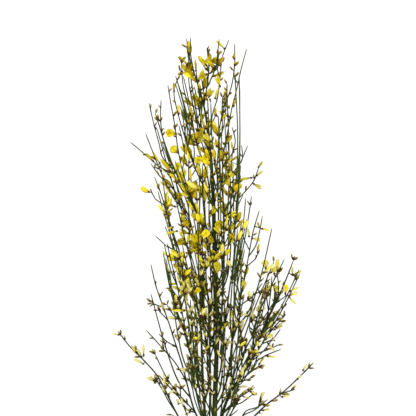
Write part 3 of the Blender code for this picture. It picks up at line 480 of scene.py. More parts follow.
def placeAt(points, along, at):
    # the place on a line at one or more distances along it
    return np.stack([np.interp(at, along, points[:, axis]) for axis in range(3)], axis=-1)


def unit(vector):
    return vector / np.linalg.norm(vector)


def sidesOf(ahead):
    # the level direction across a line, and the one that points up from it
    sideways = unit(np.cross(ahead, [0, 0, 1.0]))
    return sideways, np.cross(sideways, ahead)


def curveThrough(points, step):
    # evenly spaced points on a smooth curve through the given ones, first and last kept
    points = np.array(points, float)
    padded = np.vstack([2 * points[0] - points[1], points, 2 * points[-1] - points[-2]])
    fine = []
    for before, start, end, after in zip(padded, padded[1:], padded[2:], padded[3:]):
        for share in np.arange(0, 1, 0.1):
            bend = 2 * start + (end - before) * share
            bend = bend + (2 * before - 5 * start + 4 * end - after) * share**2
            fine.append(0.5 * (bend + (3 * start - before - 3 * end + after) * share**3))
    fine = np.array(fine + [points[-1]])
    along = stepsAlong(fine)
    return placeAt(fine, along, np.linspace(0, along[-1], max(2, round(along[-1] / step) + 1)))


def distancesBetween(starts, ends, otherStarts, otherEnds):
    # shortest distances between every segment of one set and every one of another
    run = (ends - starts)[:, None]
    otherRun = (otherEnds - otherStarts)[None]
    apart = starts[:, None] - otherStarts[None]
    runSquared = np.maximum((run * run).sum(-1), tiny)
    otherSquared = np.maximum((otherRun * otherRun).sum(-1), tiny)
    both = (run * otherRun).sum(-1)
    runApart = (run * apart).sum(-1)
    otherApart = (otherRun * apart).sum(-1)
    skew = np.maximum(runSquared * otherSquared - both * both, tiny)
    share = np.clip((both * otherApart - runApart * otherSquared) / skew, 0, 1)
    otherShare = np.clip((both * share + otherApart) / otherSquared, 0, 1)
    share = np.clip((both * otherShare - runApart) / runSquared, 0, 1)
    return np.linalg.norm(apart + run * share[..., None] - otherRun * otherShare[..., None], axis=-1)


class Branch:
    # every rod placed so far, so that what comes next stays clear of what belongs to another node

    def __init__(self):
        self.starts = np.empty((0, 3))
        self.ends = np.empty((0, 3))
        self.radii = np.empty(0)
        self.owners = np.empty(0, dtype=object)
        self.mains = {}
        self.twigs = {}
        self.pieces = {}
        self.blooms = []

    def addRod(self, owner, points, radii):
        points = np.array(points, float)
        radii = np.array(radii, float)
        self.starts = np.vstack([self.starts, points[:-1]])
        self.ends = np.vstack([self.ends, points[1:]])
        self.radii = np.append(self.radii, np.maximum(radii[:-1], radii[1:]))
        self.owners = np.append(self.owners, [owner] * (len(points) - 1))

    def addMain(self, name, kind, points, radii):
        # a stem or a shoot, which its twigs, buds and flowers are added to
        self.mains[name] = (points, radii)
        self.twigs[name] = [(points, radii)]
        self.pieces[name] = [(kind, points, radii)]
        self.addRod(name, points, radii)

    def roomRound(self, owner, points, radii, butNot=None):
        # the narrowest gap from a new rod to the rods of other nodes
        points = np.array(points, float)
        radii = np.array(radii, float)
        others = (self.owners != owner) & (self.owners != butNot)
        low = points.min(axis=0) - nearBy
        high = points.max(axis=0) + nearBy
        others &= (np.minimum(self.starts, self.ends) < high).all(1)
        others &= (np.maximum(self.starts, self.ends) > low).all(1)
        if len(points) < 2 or not others.any():
            return allRoom
        gaps = distancesBetween(points[:-1], points[1:], self.starts[others], self.ends[others])
        gaps -= np.maximum(radii[:-1], radii[1:])[:, None] + self.radii[others][None]
        return gaps.min()

    def nearestTwig(self, owner, place):
        # the twig point of a shoot that is nearest to a place across and along the branch
        place = np.array(place, float)
        least = math.inf
        for points, radii in self.twigs[owner]:
            for start, end in zip(points[:-1], points[1:]):
                run = end - start
                share = np.clip(np.dot(place - start[:2], run[:2]) / np.dot(run[:2], run[:2]), 0, 1)
                at = start + run * share
                apart = np.hypot(*(place - at[:2]))
                if apart < least:
                    least = apart
                    nearest = at
        return nearest


def heightsToTry(step, count):
    # 0, then up and down by more and more
    yield 0
    for number in range(1, count + 1):
        yield number * step
        yield -number * step


def placeWoodyStem(branch):
    points = curveThrough(stemRoute, routeStep)
    branch.addMain("woody_stem", "stem", points, np.interp(points[:, 1], *zip(*stemRadii)))


def placeFoot(branch, shoot):
    # the first point of a side shoot, seated just off its parent's surface
    points, radii = branch.mains[shoot["parent"]]
    at = placeAt(points, points[:, 1], shoot["foot"])
    thick = float(np.interp(shoot["foot"], points[:, 1], radii))
    turn = math.radians(shoot["turn"])
    out = np.array([math.cos(turn), 0, math.sin(turn)])
    return at + out * (thick + seatGap + footStandOff * shoot["radii"][0])


def placeShoot(branch, name, shoot):
    # one side shoot, raised or lowered along its length until it is clear of the others
    smooth = curveThrough([placeFoot(branch, shoot)] + shoot["route"], routeStep)
    along = np.linspace(0, 1, len(smooth))
    thick, thin = shoot["radii"]
    radii = np.interp(along, [0, footTaper[0], 1], [thick, footTaper[1] * thick, thin])
    blend = np.clip(along * footRise, 0, 1)    # the foot stays where it is seated
    best = (-allRoom, None)
    for rise in heightsToTry(*shootTries):
        points = smooth.copy()
        points[:, 2] = np.maximum(points[:, 2] + rise * blend, radii + floorGap * (1 - along))
        room = min(branch.roomRound(name, points[1:], radii[1:], shoot["parent"]),
                   branch.roomRound(name, points[2:], radii[2:]))
        if room > best[0]:
            best = (room, points)
        if room > clearance:
            break
    if best[0] < leastRoom:
        print(f"{name} has only {best[0]:.2f} mm")
    branch.addMain(name, "twig", best[1], radii)


def placeTwig(branch, name, tipHeight, places, thick=(0.95, 0.65), highest=math.inf):
    # one twig of a shoot, its tip raised or lowered until it is clear, and whether it found room
    root = branch.nearestTwig(name, places[0])
    flat = np.array(places[1:], float)
    run = np.linalg.norm(np.diff(np.vstack([root[:2], flat]), axis=0), axis=1).cumsum()
    share = run / run[-1]
    for rise in heightsToTry(*twigTries):
        tip = tipHeight + rise
        if tip < lowestTip or tip > highest or (tipHeight < lowTip and rise > lowTipRise):
            continue
        heights = root[2] + (tip - root[2]) * (1 - (1 - share) ** twigBow)
        points = curveThrough([tuple(root)] + [(x, y, z) for (x, y), z in zip(flat, heights)], twigStep)
        radii = np.linspace(thick[0], thick[1], len(points))
        points[1:, 2] = np.maximum(points[1:, 2], radii[1:])
        if branch.roomRound(name, points, radii) > clearance:
            branch.twigs[name].append((points, radii))
            branch.pieces[name].append(("twig", points, radii))
            branch.addRod(name, points, radii)
            return True
    return False


def placeTwigs(branch, name, twigs):
    for tipHeight, *places in twigs:
        if not placeTwig(branch, name, tipHeight, places):
            print(f"{name}: no room for the twig from {places[0]}")


def flowerTries(height):
    # heights of a flower's base and tip to try, nearest to its twig first
    for base in flowerBases:
        for slope in flowerSlopes:
            if height + base > lowestFlower and height + base + slope > lowestFlower:
                yield height + base, height + base + slope


def flowerBody(form, width, start, end):
    # rods that cover the petals of one flower
    across, up = sidesOf(unit(end - start))
    up = up * math.tan(math.radians(petalLift[form])) * np.linalg.norm(end - start)
    rods = []
    for side in petalSides:
        out = across * width * side
        for lift in (0, up):
            rods.append(([start + out * petalFoot, end + out + lift], [width * petalRadius] * 2))
    return rods


def stalkRod(root, start, forward):
    # a flower's stalk and calyx, from the twig to the petals, or None if it would kink
    for length in (calyxLength, shortCalyx * calyxLength):
        calyx = start - forward * length
        if np.linalg.norm(calyx - root) > shortestStalk and np.dot(calyx - root, forward) > stalkKink:
            return [root, calyx, start]
    return None


def placeFlower(branch, owner, form, width, base, tip, ownNode):
    # one flower on its stalk and calyx: its petals are a node of their own, or part of the shoot
    root = branch.nearestTwig(owner, base)
    stalkRadii = [stalkRadius, stalkRadius, calyxRadius]
    needed = clearance * flowerRoom
    for baseHeight, tipHeight in flowerTries(root[2]):
        start = np.array([*base, baseHeight], float)
        end = np.array([*tip, tipHeight], float)
        forward = unit(end - start)
        stalk = stalkRod(root, start, forward)
        if stalk is None:
            continue
        petal = start + forward * seatGap
        body = flowerBody(form, width, petal, end)
        name = f"bloom_{len(branch.blooms) + 1:02d}" if ownNode else owner
        clear = branch.roomRound(owner, stalk, stalkRadii) > needed
        clear = clear and all(branch.roomRound(name, *rod, owner) > needed for rod in body)
        if ownNode:
            lifted = [([rod[0][0] + forward * petalSkip, rod[0][1]], rod[1]) for rod in body]
            clear = clear and all(branch.roomRound(name, *rod) > needed for rod in lifted)
        if not clear:
            continue
        branch.addRod(owner, stalk, stalkRadii)
        for rod in body:
            branch.addRod(name, *rod)
        if ownNode:
            branch.pieces[owner].append(("stalk", stalk))
            branch.blooms.append((form, width, petal, end))
        else:
            branch.pieces[owner].append(("flower", stalk, form, width, end))
        return True
    return False


# Rule twigs: how far they lean in degrees, their share of the given length, and how far their tips rise
fillLook = {"lean": (8, 26), "reach": (0.7, 1.3), "rise": (-14, 16), "bow": 1.4, "lowest": 3,
            "thick": (0.85, 0.6)}


def fillCrown(branch, name, first, last, count, length, chance):
    # twigs set along a shoot by rule, alternately to its left and right
    points, radii = branch.mains[name]
    for number in range(count):
        y = first + (last - first) * (number + chance.random()) / count
        start = placeAt(points, points[:, 1], y)
        side = 1 if number % 2 else -1
        lean = side * math.radians(chance.uniform(*fillLook["lean"]))
        reach = length * chance.uniform(*fillLook["reach"])
        height = max(start[2] + chance.uniform(*fillLook["rise"]), fillLook["lowest"])
        middle = (start[0] + math.sin(lean * fillLook["bow"]) * reach * 0.5,
                  start[1] + math.cos(lean) * reach * 0.5)
        end = (start[0] + math.sin(lean) * reach, start[1] + math.cos(lean) * reach)
        placeTwig(branch, name, height, [tuple(start[:2]), middle, end], fillLook["thick"])


def placeBud(branch, name, root, ahead, firstTurn, length, spread=1.0, highest=math.inf):
    # one bud leaning forward out of its twig, on the first side of it that is clear
    sideways, up = sidesOf(ahead)
    for further in turnsToTry:
        turn = math.radians(firstTurn + further)
        forward = unit(ahead + (sideways * math.cos(turn) + up * math.sin(turn)) * spread)
        tip = root + forward * length
        if tip[2] < budRadius + budLift or tip[2] > highest:
            continue
        rod = ([root + forward * budSeat, tip], [budRadius] * 2)
        if branch.roomRound(name, *rod) > clearance * budRoom:
            branch.pieces[name].append(("bud", root, forward, length))
            branch.addRod(name, *rod)
            return


def placeBuds(branch, name, chance):
    # buds along every twig of a shoot, fewer on the shoot itself and none near its foot
    for number, (points, radii) in enumerate(branch.twigs[name]):
        spacing = budSpacingTwig if number else budSpacing
        along = stepsAlong(points)
        at = spacing * chance.uniform(0.5, 1) + (0 if number else bareFoot)
        while at < along[-1] - 2:
            root = placeAt(points, along, at)
            ahead = unit(placeAt(points, along, at + 1) - root)
            firstTurn = chance.uniform(0, 360)
            placeBud(branch, name, root, ahead, firstTurn, budLength * chance.uniform(0.85, 1.2))
            at += spacing * chance.uniform(0.7, 1.3)


def growBranch():
    # the whole branch as rods, twigs, buds and flowers, before any of it is a mesh
    branch = Branch()
    placeWoodyStem(branch)
    for name, shoot in shoots.items():
        placeShoot(branch, name, shoot)
    for name, shoot in shoots.items():
        placeTwigs(branch, name, shoot["twigs"])
    placeTwigs(branch, "woody_stem", leaderTwigs)
    for owner, flowers in blooms.items():
        for form, width, base, tip in flowers:
            if not placeFlower(branch, owner, form, width, base, tip, True):
                print(f"{owner}: no room for the bloom at {base}")
    for owner, flowers in smallFlowers.items():
        for base, tip in flowers:
            if not placeFlower(branch, owner, "closed", smallFlowerWidth, base, tip, False):
                print(f"{owner}: no room for the flower at {base}")
    chance = random.Random(ruleSeed)
    for name, rule in fillTwigs.items():
        fillCrown(branch, name, *rule, chance)
    for name in branch.mains:
        placeBuds(branch, name, chance)
    return branch


# Twigs: ribbed like broom's, with a knot where a bud or a flower leaves them. "slim" turns the radii of the
# solids into the real ones, and thin twigs below the crown are thicker by "lowThick"
twigLook = {
    "step": 3.0, "shortStep": 1.2, "ribs": 5, "stemRibs": 9, "ribDepth": 0.16, "knot": 0.2,
    "knotReach": 2.0, "slim": [(0.6, 0.68), (0.95, 0.80), (1.6, 1.3), (2.8, 2.4), (5.5, 5.3)],
    "tip": 0.45, "tipReach": 2.0, "lowThick": 0.12, "lowEnds": (230, 380), "thinnerThan": 1.3, "stalk": 0.42,
}


def rootsOn(pieces):
    # every place where a bud or a flower leaves a twig
    roots = [piece[1] for piece in pieces if piece[0] == "bud"]
    roots += [piece[1][0] for piece in pieces if piece[0] in ("flower", "stalk")]
    return np.array(roots or [(0, 0, -999)], float)


def fineTwig(points, radii, roots):
    # the twig's own points made closer, knotted near the roots
    along = stepsAlong(points)
    if len(points) > 3:
        smooth = curveThrough(points, twigLook["step"])
    else:
        count = max(2, round(along[-1] / twigLook["shortStep"]) + 1)
        smooth = placeAt(points, along, np.linspace(0, along[-1], count))
    share = np.linspace(0, along[-1], len(smooth))
    apart = np.linalg.norm(smooth[:, None] - roots[None], axis=2).min(axis=1)
    thick = np.interp(np.interp(share, along, radii), *zip(*twigLook["slim"]))
    low = np.interp(smooth[:, 1], twigLook["lowEnds"], (1, 0))
    thick = thick * (1 + twigLook["lowThick"] * low * (thick < twigLook["thinnerThan"]))
    thick = thick + twigLook["knot"] * np.exp(-(apart / twigLook["knotReach"]) ** 2)
    return smooth, thick * (1 - twigLook["tip"] * np.exp(-(along[-1] - share) / twigLook["tipReach"]))


def linkObject(name, data):
    made = bpy.data.objects.new(name, data)
    bpy.context.scene.collection.objects.link(made)
    return made


def curveObject(name, rods):
    # the rods as curves that carry their radii
    curve = bpy.data.curves.new(name, "CURVE")
    curve.dimensions = "3D"
    for points, radii in rods:
        spline = curve.splines.new("POLY")
        spline.points.add(len(points) - 1)
        spline.points.foreach_set("co", np.column_stack([points * mm, np.ones(len(points))]).ravel())
        spline.points.foreach_set("radius", np.array(radii) * mm)
    return linkObject(name, curve)


def newTree(name, inputs):
    tree = bpy.data.node_groups.new(name, "GeometryNodeTree")
    tree.interface.new_socket("Geometry", in_out="INPUT", socket_type="NodeSocketGeometry")
    for label, kind in inputs:
        tree.interface.new_socket(label, in_out="INPUT", socket_type=kind)
    tree.interface.new_socket("Geometry", in_out="OUTPUT", socket_type="NodeSocketGeometry")
    return tree


def addNode(tree, kind, links=(), **settings):
    # one node, its inputs linked or set: links is a list of (input, value or socket)
    node = tree.nodes.new(kind)
    for key, value in settings.items():
        setattr(node, key, value)
    for key, value in links:
        if isinstance(value, bpy.types.NodeSocket):
            tree.links.new(value, node.inputs[key])
        else:
            node.inputs[key].default_value = value
    return node


def calculate(tree, operation, *values):
    # one sum of values or sockets, for shapes and materials alike
    return addNode(tree, "ShaderNodeMath", enumerate(values), operation=operation).outputs[0]


def storeAttribute(tree, geometry, name, value, dataType, domain="POINT"):
    node = addNode(tree, "GeometryNodeStoreNamedAttribute", [("Geometry", geometry), ("Name", name)],
                   data_type=dataType, domain=domain)
    tree.links.new(value, node.inputs["Value"])
    return node.outputs["Geometry"]


def ribbedTwigTree():
    # a ribbed tube round every curve, with the attributes that the bark material reads
    tree = newTree("ribbedTwigs", [("Ribs", "NodeSocketInt"), ("Rib Depth", "NodeSocketFloat"),
                                   ("Bark", "NodeSocketMaterial")])
    given = addNode(tree, "NodeGroupInput").outputs
    sides = calculate(tree, "MULTIPLY", given["Ribs"], 2.0)
    circle = addNode(tree, "GeometryNodeCurvePrimitiveCircle", [("Resolution", sides), ("Radius", 1.0)])
    odd = calculate(tree, "MODULO", addNode(tree, "GeometryNodeInputIndex").outputs[0], 2.0)
    shrink = calculate(tree, "SUBTRACT", 1.0, calculate(tree, "MULTIPLY", odd, given["Rib Depth"]))
    place = addNode(tree, "GeometryNodeInputPosition").outputs[0]
    scaled = addNode(tree, "ShaderNodeVectorMath", [(0, place), ("Scale", shrink)], operation="SCALE")
    profile = addNode(tree, "GeometryNodeSetPosition", [("Geometry", circle.outputs["Curve"]),
                                                        ("Position", scaled.outputs[0])])
    around = storeAttribute(tree, profile.outputs[0], "around", place, "FLOAT_VECTOR")
    parameter = addNode(tree, "GeometryNodeSplineParameter").outputs
    radius = addNode(tree, "GeometryNodeInputRadius").outputs[0]
    rods = given["Geometry"]
    for label, value in (("along", parameter["Length"]), ("reach", parameter["Factor"]), ("thick", radius)):
        rods = storeAttribute(tree, rods, label, value, "FLOAT")
    own = addNode(tree, "FunctionNodeRandomValue", [(2, 0.0), (3, 1.0), ("Seed", 3)], data_type="FLOAT")
    rods = storeAttribute(tree, rods, "shade", own.outputs[1], "FLOAT", "CURVE")
    tube = addNode(tree, "GeometryNodeCurveToMesh", [("Curve", rods), ("Profile Curve", around),
                                                     ("Scale", radius), ("Fill Caps", True)])
    real = addNode(tree, "GeometryNodeRealizeInstances", [("Geometry", tube.outputs["Mesh"])])
    worn = addNode(tree, "GeometryNodeSetMaterial", [("Geometry", real.outputs[0]),
                                                     ("Material", given["Bark"])])
    addNode(tree, "NodeGroupOutput", [(0, worn.outputs[0])])
    return tree


def bakeModifier(source, tree, values, name):
    # the tree's result on one object as a plain mesh
    modifier = source.modifiers.new("made", "NODES")
    modifier.node_group = tree
    ids = {item.name: item.identifier for item in tree.interface.items_tree if item.in_out == "INPUT"}
    for label, value in values.items():
        modifier[ids[label]] = value
    bpy.context.view_layer.update()
    graph = bpy.context.evaluated_depsgraph_get()
    evaluated = source.evaluated_get(graph)
    mesh = bpy.data.meshes.new_from_object(evaluated, preserve_all_data_layers=True, depsgraph=graph)
    source.modifiers.clear()
    bpy.data.objects.remove(source)
    mesh.name = name
    return mesh


# Flowers: how many faces a petal has along and across, how many kinds each form has, half a petal's
# thickness, how its outline widens from the foot, how deep a flower may be in mm, and how far it is sunk
# into its calyx. The sizes of petals, length and half width, are shares of the flower's own
flowerLook = {
    "faces": (9, 8), "smallFaces": (6, 4), "kindsEach": 4, "thick": 0.022, "foot": 0.14, "widen": 1.9,
    "deepest": 6, "sunk": 0.05,
    "closed": {"banner": (1.0, 0.53), "wing": (0.84, 0.24), "keel": (0.80, 0.34)},
    "open": {"banner": (1.0, 0.66), "wing": (0.78, 0.20), "keel": (0.62, 0.22)},
    "fork": {"banner": (1.0, 0.34), "wing": (0.94, 0.20), "keel": (0.9, 0.22)},
}

# What the materials read as the part of a flower
partCodes = {"banner": 0.0, "wing": 0.3, "keel": 0.6, "bud": 1.0, "calyx": 2.0}


def petalShell(size, fold, bend, cup, notch, faces, wave=0.03, seed=0, blunt=0.4):
    # a thin closed petal: foot at the origin, pointing along +Z, its crease towards -Y
    length, halfWidth = size
    rows, columns = faces
    along = 1 - (1 - np.linspace(0, 1, rows + 1)[:, None]) ** 1.4
    across = np.linspace(-1, 1, columns + 1)[None]
    outline = np.minimum(along * flowerLook["widen"] + flowerLook["foot"], 1) ** 0.8
    outline = outline * (1 - np.maximum(along - blunt, 0) ** 2.6 / (1 - blunt) ** 2.6) ** 0.5
    spread = halfWidth * np.maximum(outline, flowerLook["foot"]) * across
    angle = math.radians(fold) * (1 - 0.25 * along)
    soft = np.sqrt(spread**2 + (0.12 * halfWidth) ** 2) - 0.12 * halfWidth    # a crease without a sharp edge
    phase = np.random.default_rng(seed).uniform(0, 6)
    ripple = np.sin(along * 9 + phase) * np.abs(across) ** 2 * wave
    ripple = ripple + np.sin(along * 17 + across * 4) * wave * 0.3
    x = spread * np.cos(angle)
    y = soft * np.sin(angle) + bend * along**2 + cup * np.sin(np.pi * along) * (1 - across**2) + ripple
    z = length * (along - notch * along**6 * (1 - np.abs(across)) - 0.10 * along**3 * across**2)
    top = np.stack([x, y, z], axis=-1)
    normal = np.cross(np.gradient(top, axis=1), np.gradient(top, axis=0))
    normal /= np.maximum(np.linalg.norm(normal, axis=-1, keepdims=True), tiny)
    edge = (1 - np.abs(across) ** 6 * 0.7) * (1 - along**8 * 0.6)
    skin = normal * flowerLook["thick"] * edge[..., None]
    return top - skin, top + skin, along.ravel(), across.ravel()


def addPetal(store, part, matrix, *shape, **details):
    # the two skins of a petal and its rim as faces
    outer, inner, along, across = petalShell(*shape, **details)
    rows, columns = outer.shape[:2]
    start = len(store["verts"])
    both = np.concatenate([outer.reshape(-1, 3), inner.reshape(-1, 3)])
    both = both @ np.array(matrix.to_3x3()).T + np.array(matrix.translation)
    store["verts"] += [tuple(place) for place in both]
    store["petal"] += [(row, column, partCodes[part]) for row in along for column in across] * 2

    def at(row, column, side):
        return start + (side * rows + row) * columns + column

    for row in range(rows - 1):
        for column in range(columns - 1):
            corners = [(row, column), (row + 1, column), (row + 1, column + 1), (row, column + 1)]
            store["faces"].append([at(*corner, 0) for corner in corners])
            store["faces"].append([at(*corner, 1) for corner in corners[:1] + corners[:0:-1]])
    rim = [(0, column) for column in range(columns)] + [(row, columns - 1) for row in range(1, rows)]
    rim += [(rows - 1, column) for column in range(columns - 2, -1, -1)]
    rim += [(row, 0) for row in range(rows - 2, 0, -1)]
    for first, second in zip(rim, rim[1:] + rim[:1]):
        store["faces"].append((at(*first, 0), at(*second, 0), at(*second, 1), at(*first, 1)))


def curveSideways(store, bend):
    # what the store holds is bent to one side, more towards its tip
    store["verts"] = [(x + bend * z * abs(z), y, z) for x, y, z in store["verts"]]


def addBody(store, part, sides, profile, squash=1.0):
    # a closed spindle: profile is a list of (share along, radius)
    start = len(store["verts"])
    foot, tip = profile[0][0], profile[-1][0]
    code = partCodes[part]
    store["verts"].append((0, 0, foot))
    store["petal"].append((foot, 0, code))
    for share, radius in profile[1:-1]:
        for side in range(sides):
            turn = 2 * math.pi * side / sides
            store["verts"].append((math.cos(turn) * radius, math.sin(turn) * radius * squash, share))
            store["petal"].append((share, math.cos(turn), code))
    store["verts"].append((0, 0, tip))
    store["petal"].append((tip, 0, code))
    rings = len(profile) - 2
    last = start + 1 + rings * sides
    for side in range(sides):
        after = (side + 1) % sides
        store["faces"].append((start, start + 1 + after, start + 1 + side))
        for ring in range(rings - 1):
            low = start + 1 + ring * sides
            store["faces"].append((low + side, low + after, low + sides + after, low + sides + side))
        top = last - sides
        store["faces"].append((top + side, top + after, last))


def storeMesh(name, store):
    mesh = bpy.data.meshes.new(name)
    mesh.from_pydata(store["verts"], [], store["faces"])
    shape = bmesh.new()
    shape.from_mesh(mesh)
    bmesh.ops.recalc_face_normals(shape, faces=shape.faces)
    shape.to_mesh(mesh)
    shape.free()
    petal = mesh.attributes.new("petal", "FLOAT_VECTOR", "POINT")
    petal.data.foreach_set("vector", np.array(store["petal"], np.float32).ravel())
    mesh.shade_smooth()
    return bpy.data.objects.new(name, mesh)


def turned(degrees, axis):
    return Matrix.Rotation(math.radians(degrees), 4, axis)


def fewer(faces, rows, columns, least=4):
    # the faces of a wing or a keel, which has fewer of them than the banner
    return max(faces[0] - rows, 4), max(faces[1] - columns, least)


def addClosedPetals(store, faces, seed):
    # a folded banner lying on its side, wings and keel showing between its edges
    sizes = flowerLook["closed"]
    chance = random.Random(seed)
    flip = chance.choice((-1, 1))
    side = turned(-90 * flip, "Z")
    tilt = turned(chance.uniform(-4, 4), "X")
    addPetal(store, "banner", Matrix.Translation((-0.04 * flip, 0, 0)) @ tilt @ side, sizes["banner"],
             74 + chance.uniform(-8, 5), chance.uniform(0.0, 0.14), -0.38, 0, faces,
             wave=0.015, seed=seed, blunt=0.68)
    inner = fewer(faces, 2, 2)
    addPetal(store, "keel", Matrix.Translation((0.02 * flip, 0, 0.02)) @ side, sizes["keel"],
             80, 0.12, -0.12, 0, inner, wave=0.01, seed=seed + 1)
    for way in (-1, 1):
        turn = turned(chance.uniform(2, 11) * flip, "Y")
        addPetal(store, "wing", Matrix.Translation((0.08 * flip, 0.10 * way, 0)) @ turn, sizes["wing"],
                 22, 0.03 * way, 0.06 * way, 0, inner, wave=0.015, seed=seed + 2 + way)
    curveSideways(store, chance.uniform(-0.45, 0.45))


def addOpenPetals(store, faces, seed):
    # the banner bent back and seen from its face, its sides curled in, the rest small in front of it
    sizes = flowerLook["open"]
    chance = random.Random(seed)
    back = turned(-8 + chance.uniform(-5, 5), "X") @ turned(180, "Z")
    addPetal(store, "banner", back, sizes["banner"],
             34 + chance.uniform(-8, 10), 0.12, 0.12, 0.06, faces, wave=0.04, seed=seed)
    inner = fewer(faces, 3, 3, 3)
    for way in (-1, 1):
        turn = turned(chance.uniform(12, 26) * way, "Y")
        addPetal(store, "wing", Matrix.Translation((0.06 * way, 0.14, 0)) @ turn, sizes["wing"],
                 44, 0.05, 0.03, 0, inner, seed=seed + way)
    addPetal(store, "keel", Matrix.Translation((0, 0.10, 0)), sizes["keel"],
             70, 0.06, 0, 0, inner, seed=seed + 5)


def addForkPetals(store, faces, seed):
    # the banner bent to one side, the wings and the keel fallen to the other
    sizes = flowerLook["fork"]
    chance = random.Random(seed)
    flip = chance.choice((-1, 1))
    side = turned(-90 * flip, "Z")
    out = turned(-24 * flip + chance.uniform(-4, 4), "Y")
    addPetal(store, "banner", out @ side, sizes["banner"], 54, -0.10, -0.20, 0.03, faces, seed=seed)
    for way in (-1, 1):
        turn = turned((17 + 9 * way) * flip, "Y")
        addPetal(store, "wing", Matrix.Translation((0, 0.08 * way, 0)) @ turn, sizes["wing"],
                 34, 0.06 * way, 0.06 * way, 0, fewer(faces, 2, 3, 3), seed=seed + way)
    addPetal(store, "keel", turned(24 * flip, "Y") @ side, sizes["keel"],
             74, 0.06, -0.1, 0, fewer(faces, 3, 3, 3), seed=seed + 5)


addPetals = {"closed": addClosedPetals, "open": addOpenPetals, "fork": addForkPetals}

# Calyx and buds, one unit long: distances along them and radii there
cupLook = {
    "profile": [(-1.0, 0), (-0.97, 0.24), (-0.7, 0.34), (-0.3, 0.48), (0.0, 0.56), (0.22, 0.60),
                (0.16, 0.46), (0.0, 0)],
    "sides": 7, "squash": 0.85, "width": 2.7, "shortest": 1.8,
    "dark": (0.028, 0.008, 0.003, 1), "light": (0.095, 0.022, 0.004, 1), "green": (0.070, 0.055, 0.010, 1),
    "patchSize": 500, "greenSize": 190, "greenStrength": 0.5, "grainSize": 1500, "roughness": (0.5, 0.7),
}
# "kinds" holds the half width and the bend of each kind, "lowSize" how much larger the low ones are
budLook = {
    "kinds": [(0.24, 0.12), (0.20, -0.18), (0.26, 0.0), (0.16, 0.24)], "sides": 5, "squash": 0.85,
    "cup": [(-0.34, 0), (-0.31, 0.07), (-0.12, 0.13), (0.06, 0.18), (0.18, 0.19), (0.22, 0)],
    "size": (0.95, 0.95, 0.78), "lowSize": 1.16, "lowEnds": (270, 400), "offset": 0.42, "stalk": 0.2,
    "stops": [(0.0, (0.62, 0.56, 0.24, 1)), (0.18, (0.33, 0.29, 0.085, 1)), (0.36, (0.15, 0.135, 0.026, 1)),
              (0.60, (0.28, 0.19, 0.006, 1)), (1.0, (0.50, 0.34, 0.005, 1))],
    # "tip" and "crownTip" are the pale tip colours of a bud, partly its own colour and partly a painted
    # highlight
    "tip": (0.52, 0.45, 0.15, 1), "crownTip": (0.46, 0.34, 0.02, 1), "foot": (0.070, 0.020, 0.004, 1),
    "footReach": 0.7, "roughness": 0.65, "blotch": 0.25, "blotchSize": 330,
}


def makeKinds():
    # every shape that is set on the twigs, in collections by use
    made = {use: bpy.data.collections.new(use) for use in ("blooms", "flowers", "cups", "buds")}
    for form, add in addPetals.items():
        for number in range(flowerLook["kindsEach"]):
            for use, name, faces, seed in (("blooms", "bloom", "faces", 11 * number + len(form)),
                                           ("flowers", "flower", "smallFaces", 7 * number + len(form) + 1)):
                store = {"verts": [], "faces": [], "petal": []}
                add(store, flowerLook[faces], seed)
                made[use].objects.link(storeMesh(f"{name}_{form}_{number}", store))
    store = {"verts": [], "faces": [], "petal": []}
    addBody(store, "calyx", cupLook["sides"], cupLook["profile"], cupLook["squash"])
    made["cups"].objects.link(storeMesh("cup", store))
    for number, (width, bend) in enumerate(budLook["kinds"]):
        store = {"verts": [], "faces": [], "petal": []}
        addBody(store, "calyx", budLook["sides"], budLook["cup"])
        addBody(store, "bud", budLook["sides"], [(0.0, 0), (0.1, 0.15), (0.35, width), (0.65, width * 0.92),
                                                 (0.88, width * 0.52), (1.0, 0)], budLook["squash"])
        curveSideways(store, bend)
        made["buds"].objects.link(storeMesh(f"bud_{number}", store))
    return made


def pointCloud(name, spots):
    # one vertex for each thing set on the twigs, with its turn, size, tone and kind
    mesh = bpy.data.meshes.new(name)
    mesh.from_pydata([tuple(np.array(spot["at"]) * mm) for spot in spots], [], [])
    for label, kind, slot in (("turn", "FLOAT_VECTOR", "vector"), ("size", "FLOAT_VECTOR", "vector"),
                              ("tone", "FLOAT", "value"), ("kind", "INT", "value")):
        attribute = mesh.attributes.new(label, kind, "POINT")
        values = np.array([spot[label] for spot in spots], np.int32 if kind == "INT" else np.float32)
        attribute.data.foreach_set(slot, values.ravel())
    return linkObject(name, mesh)


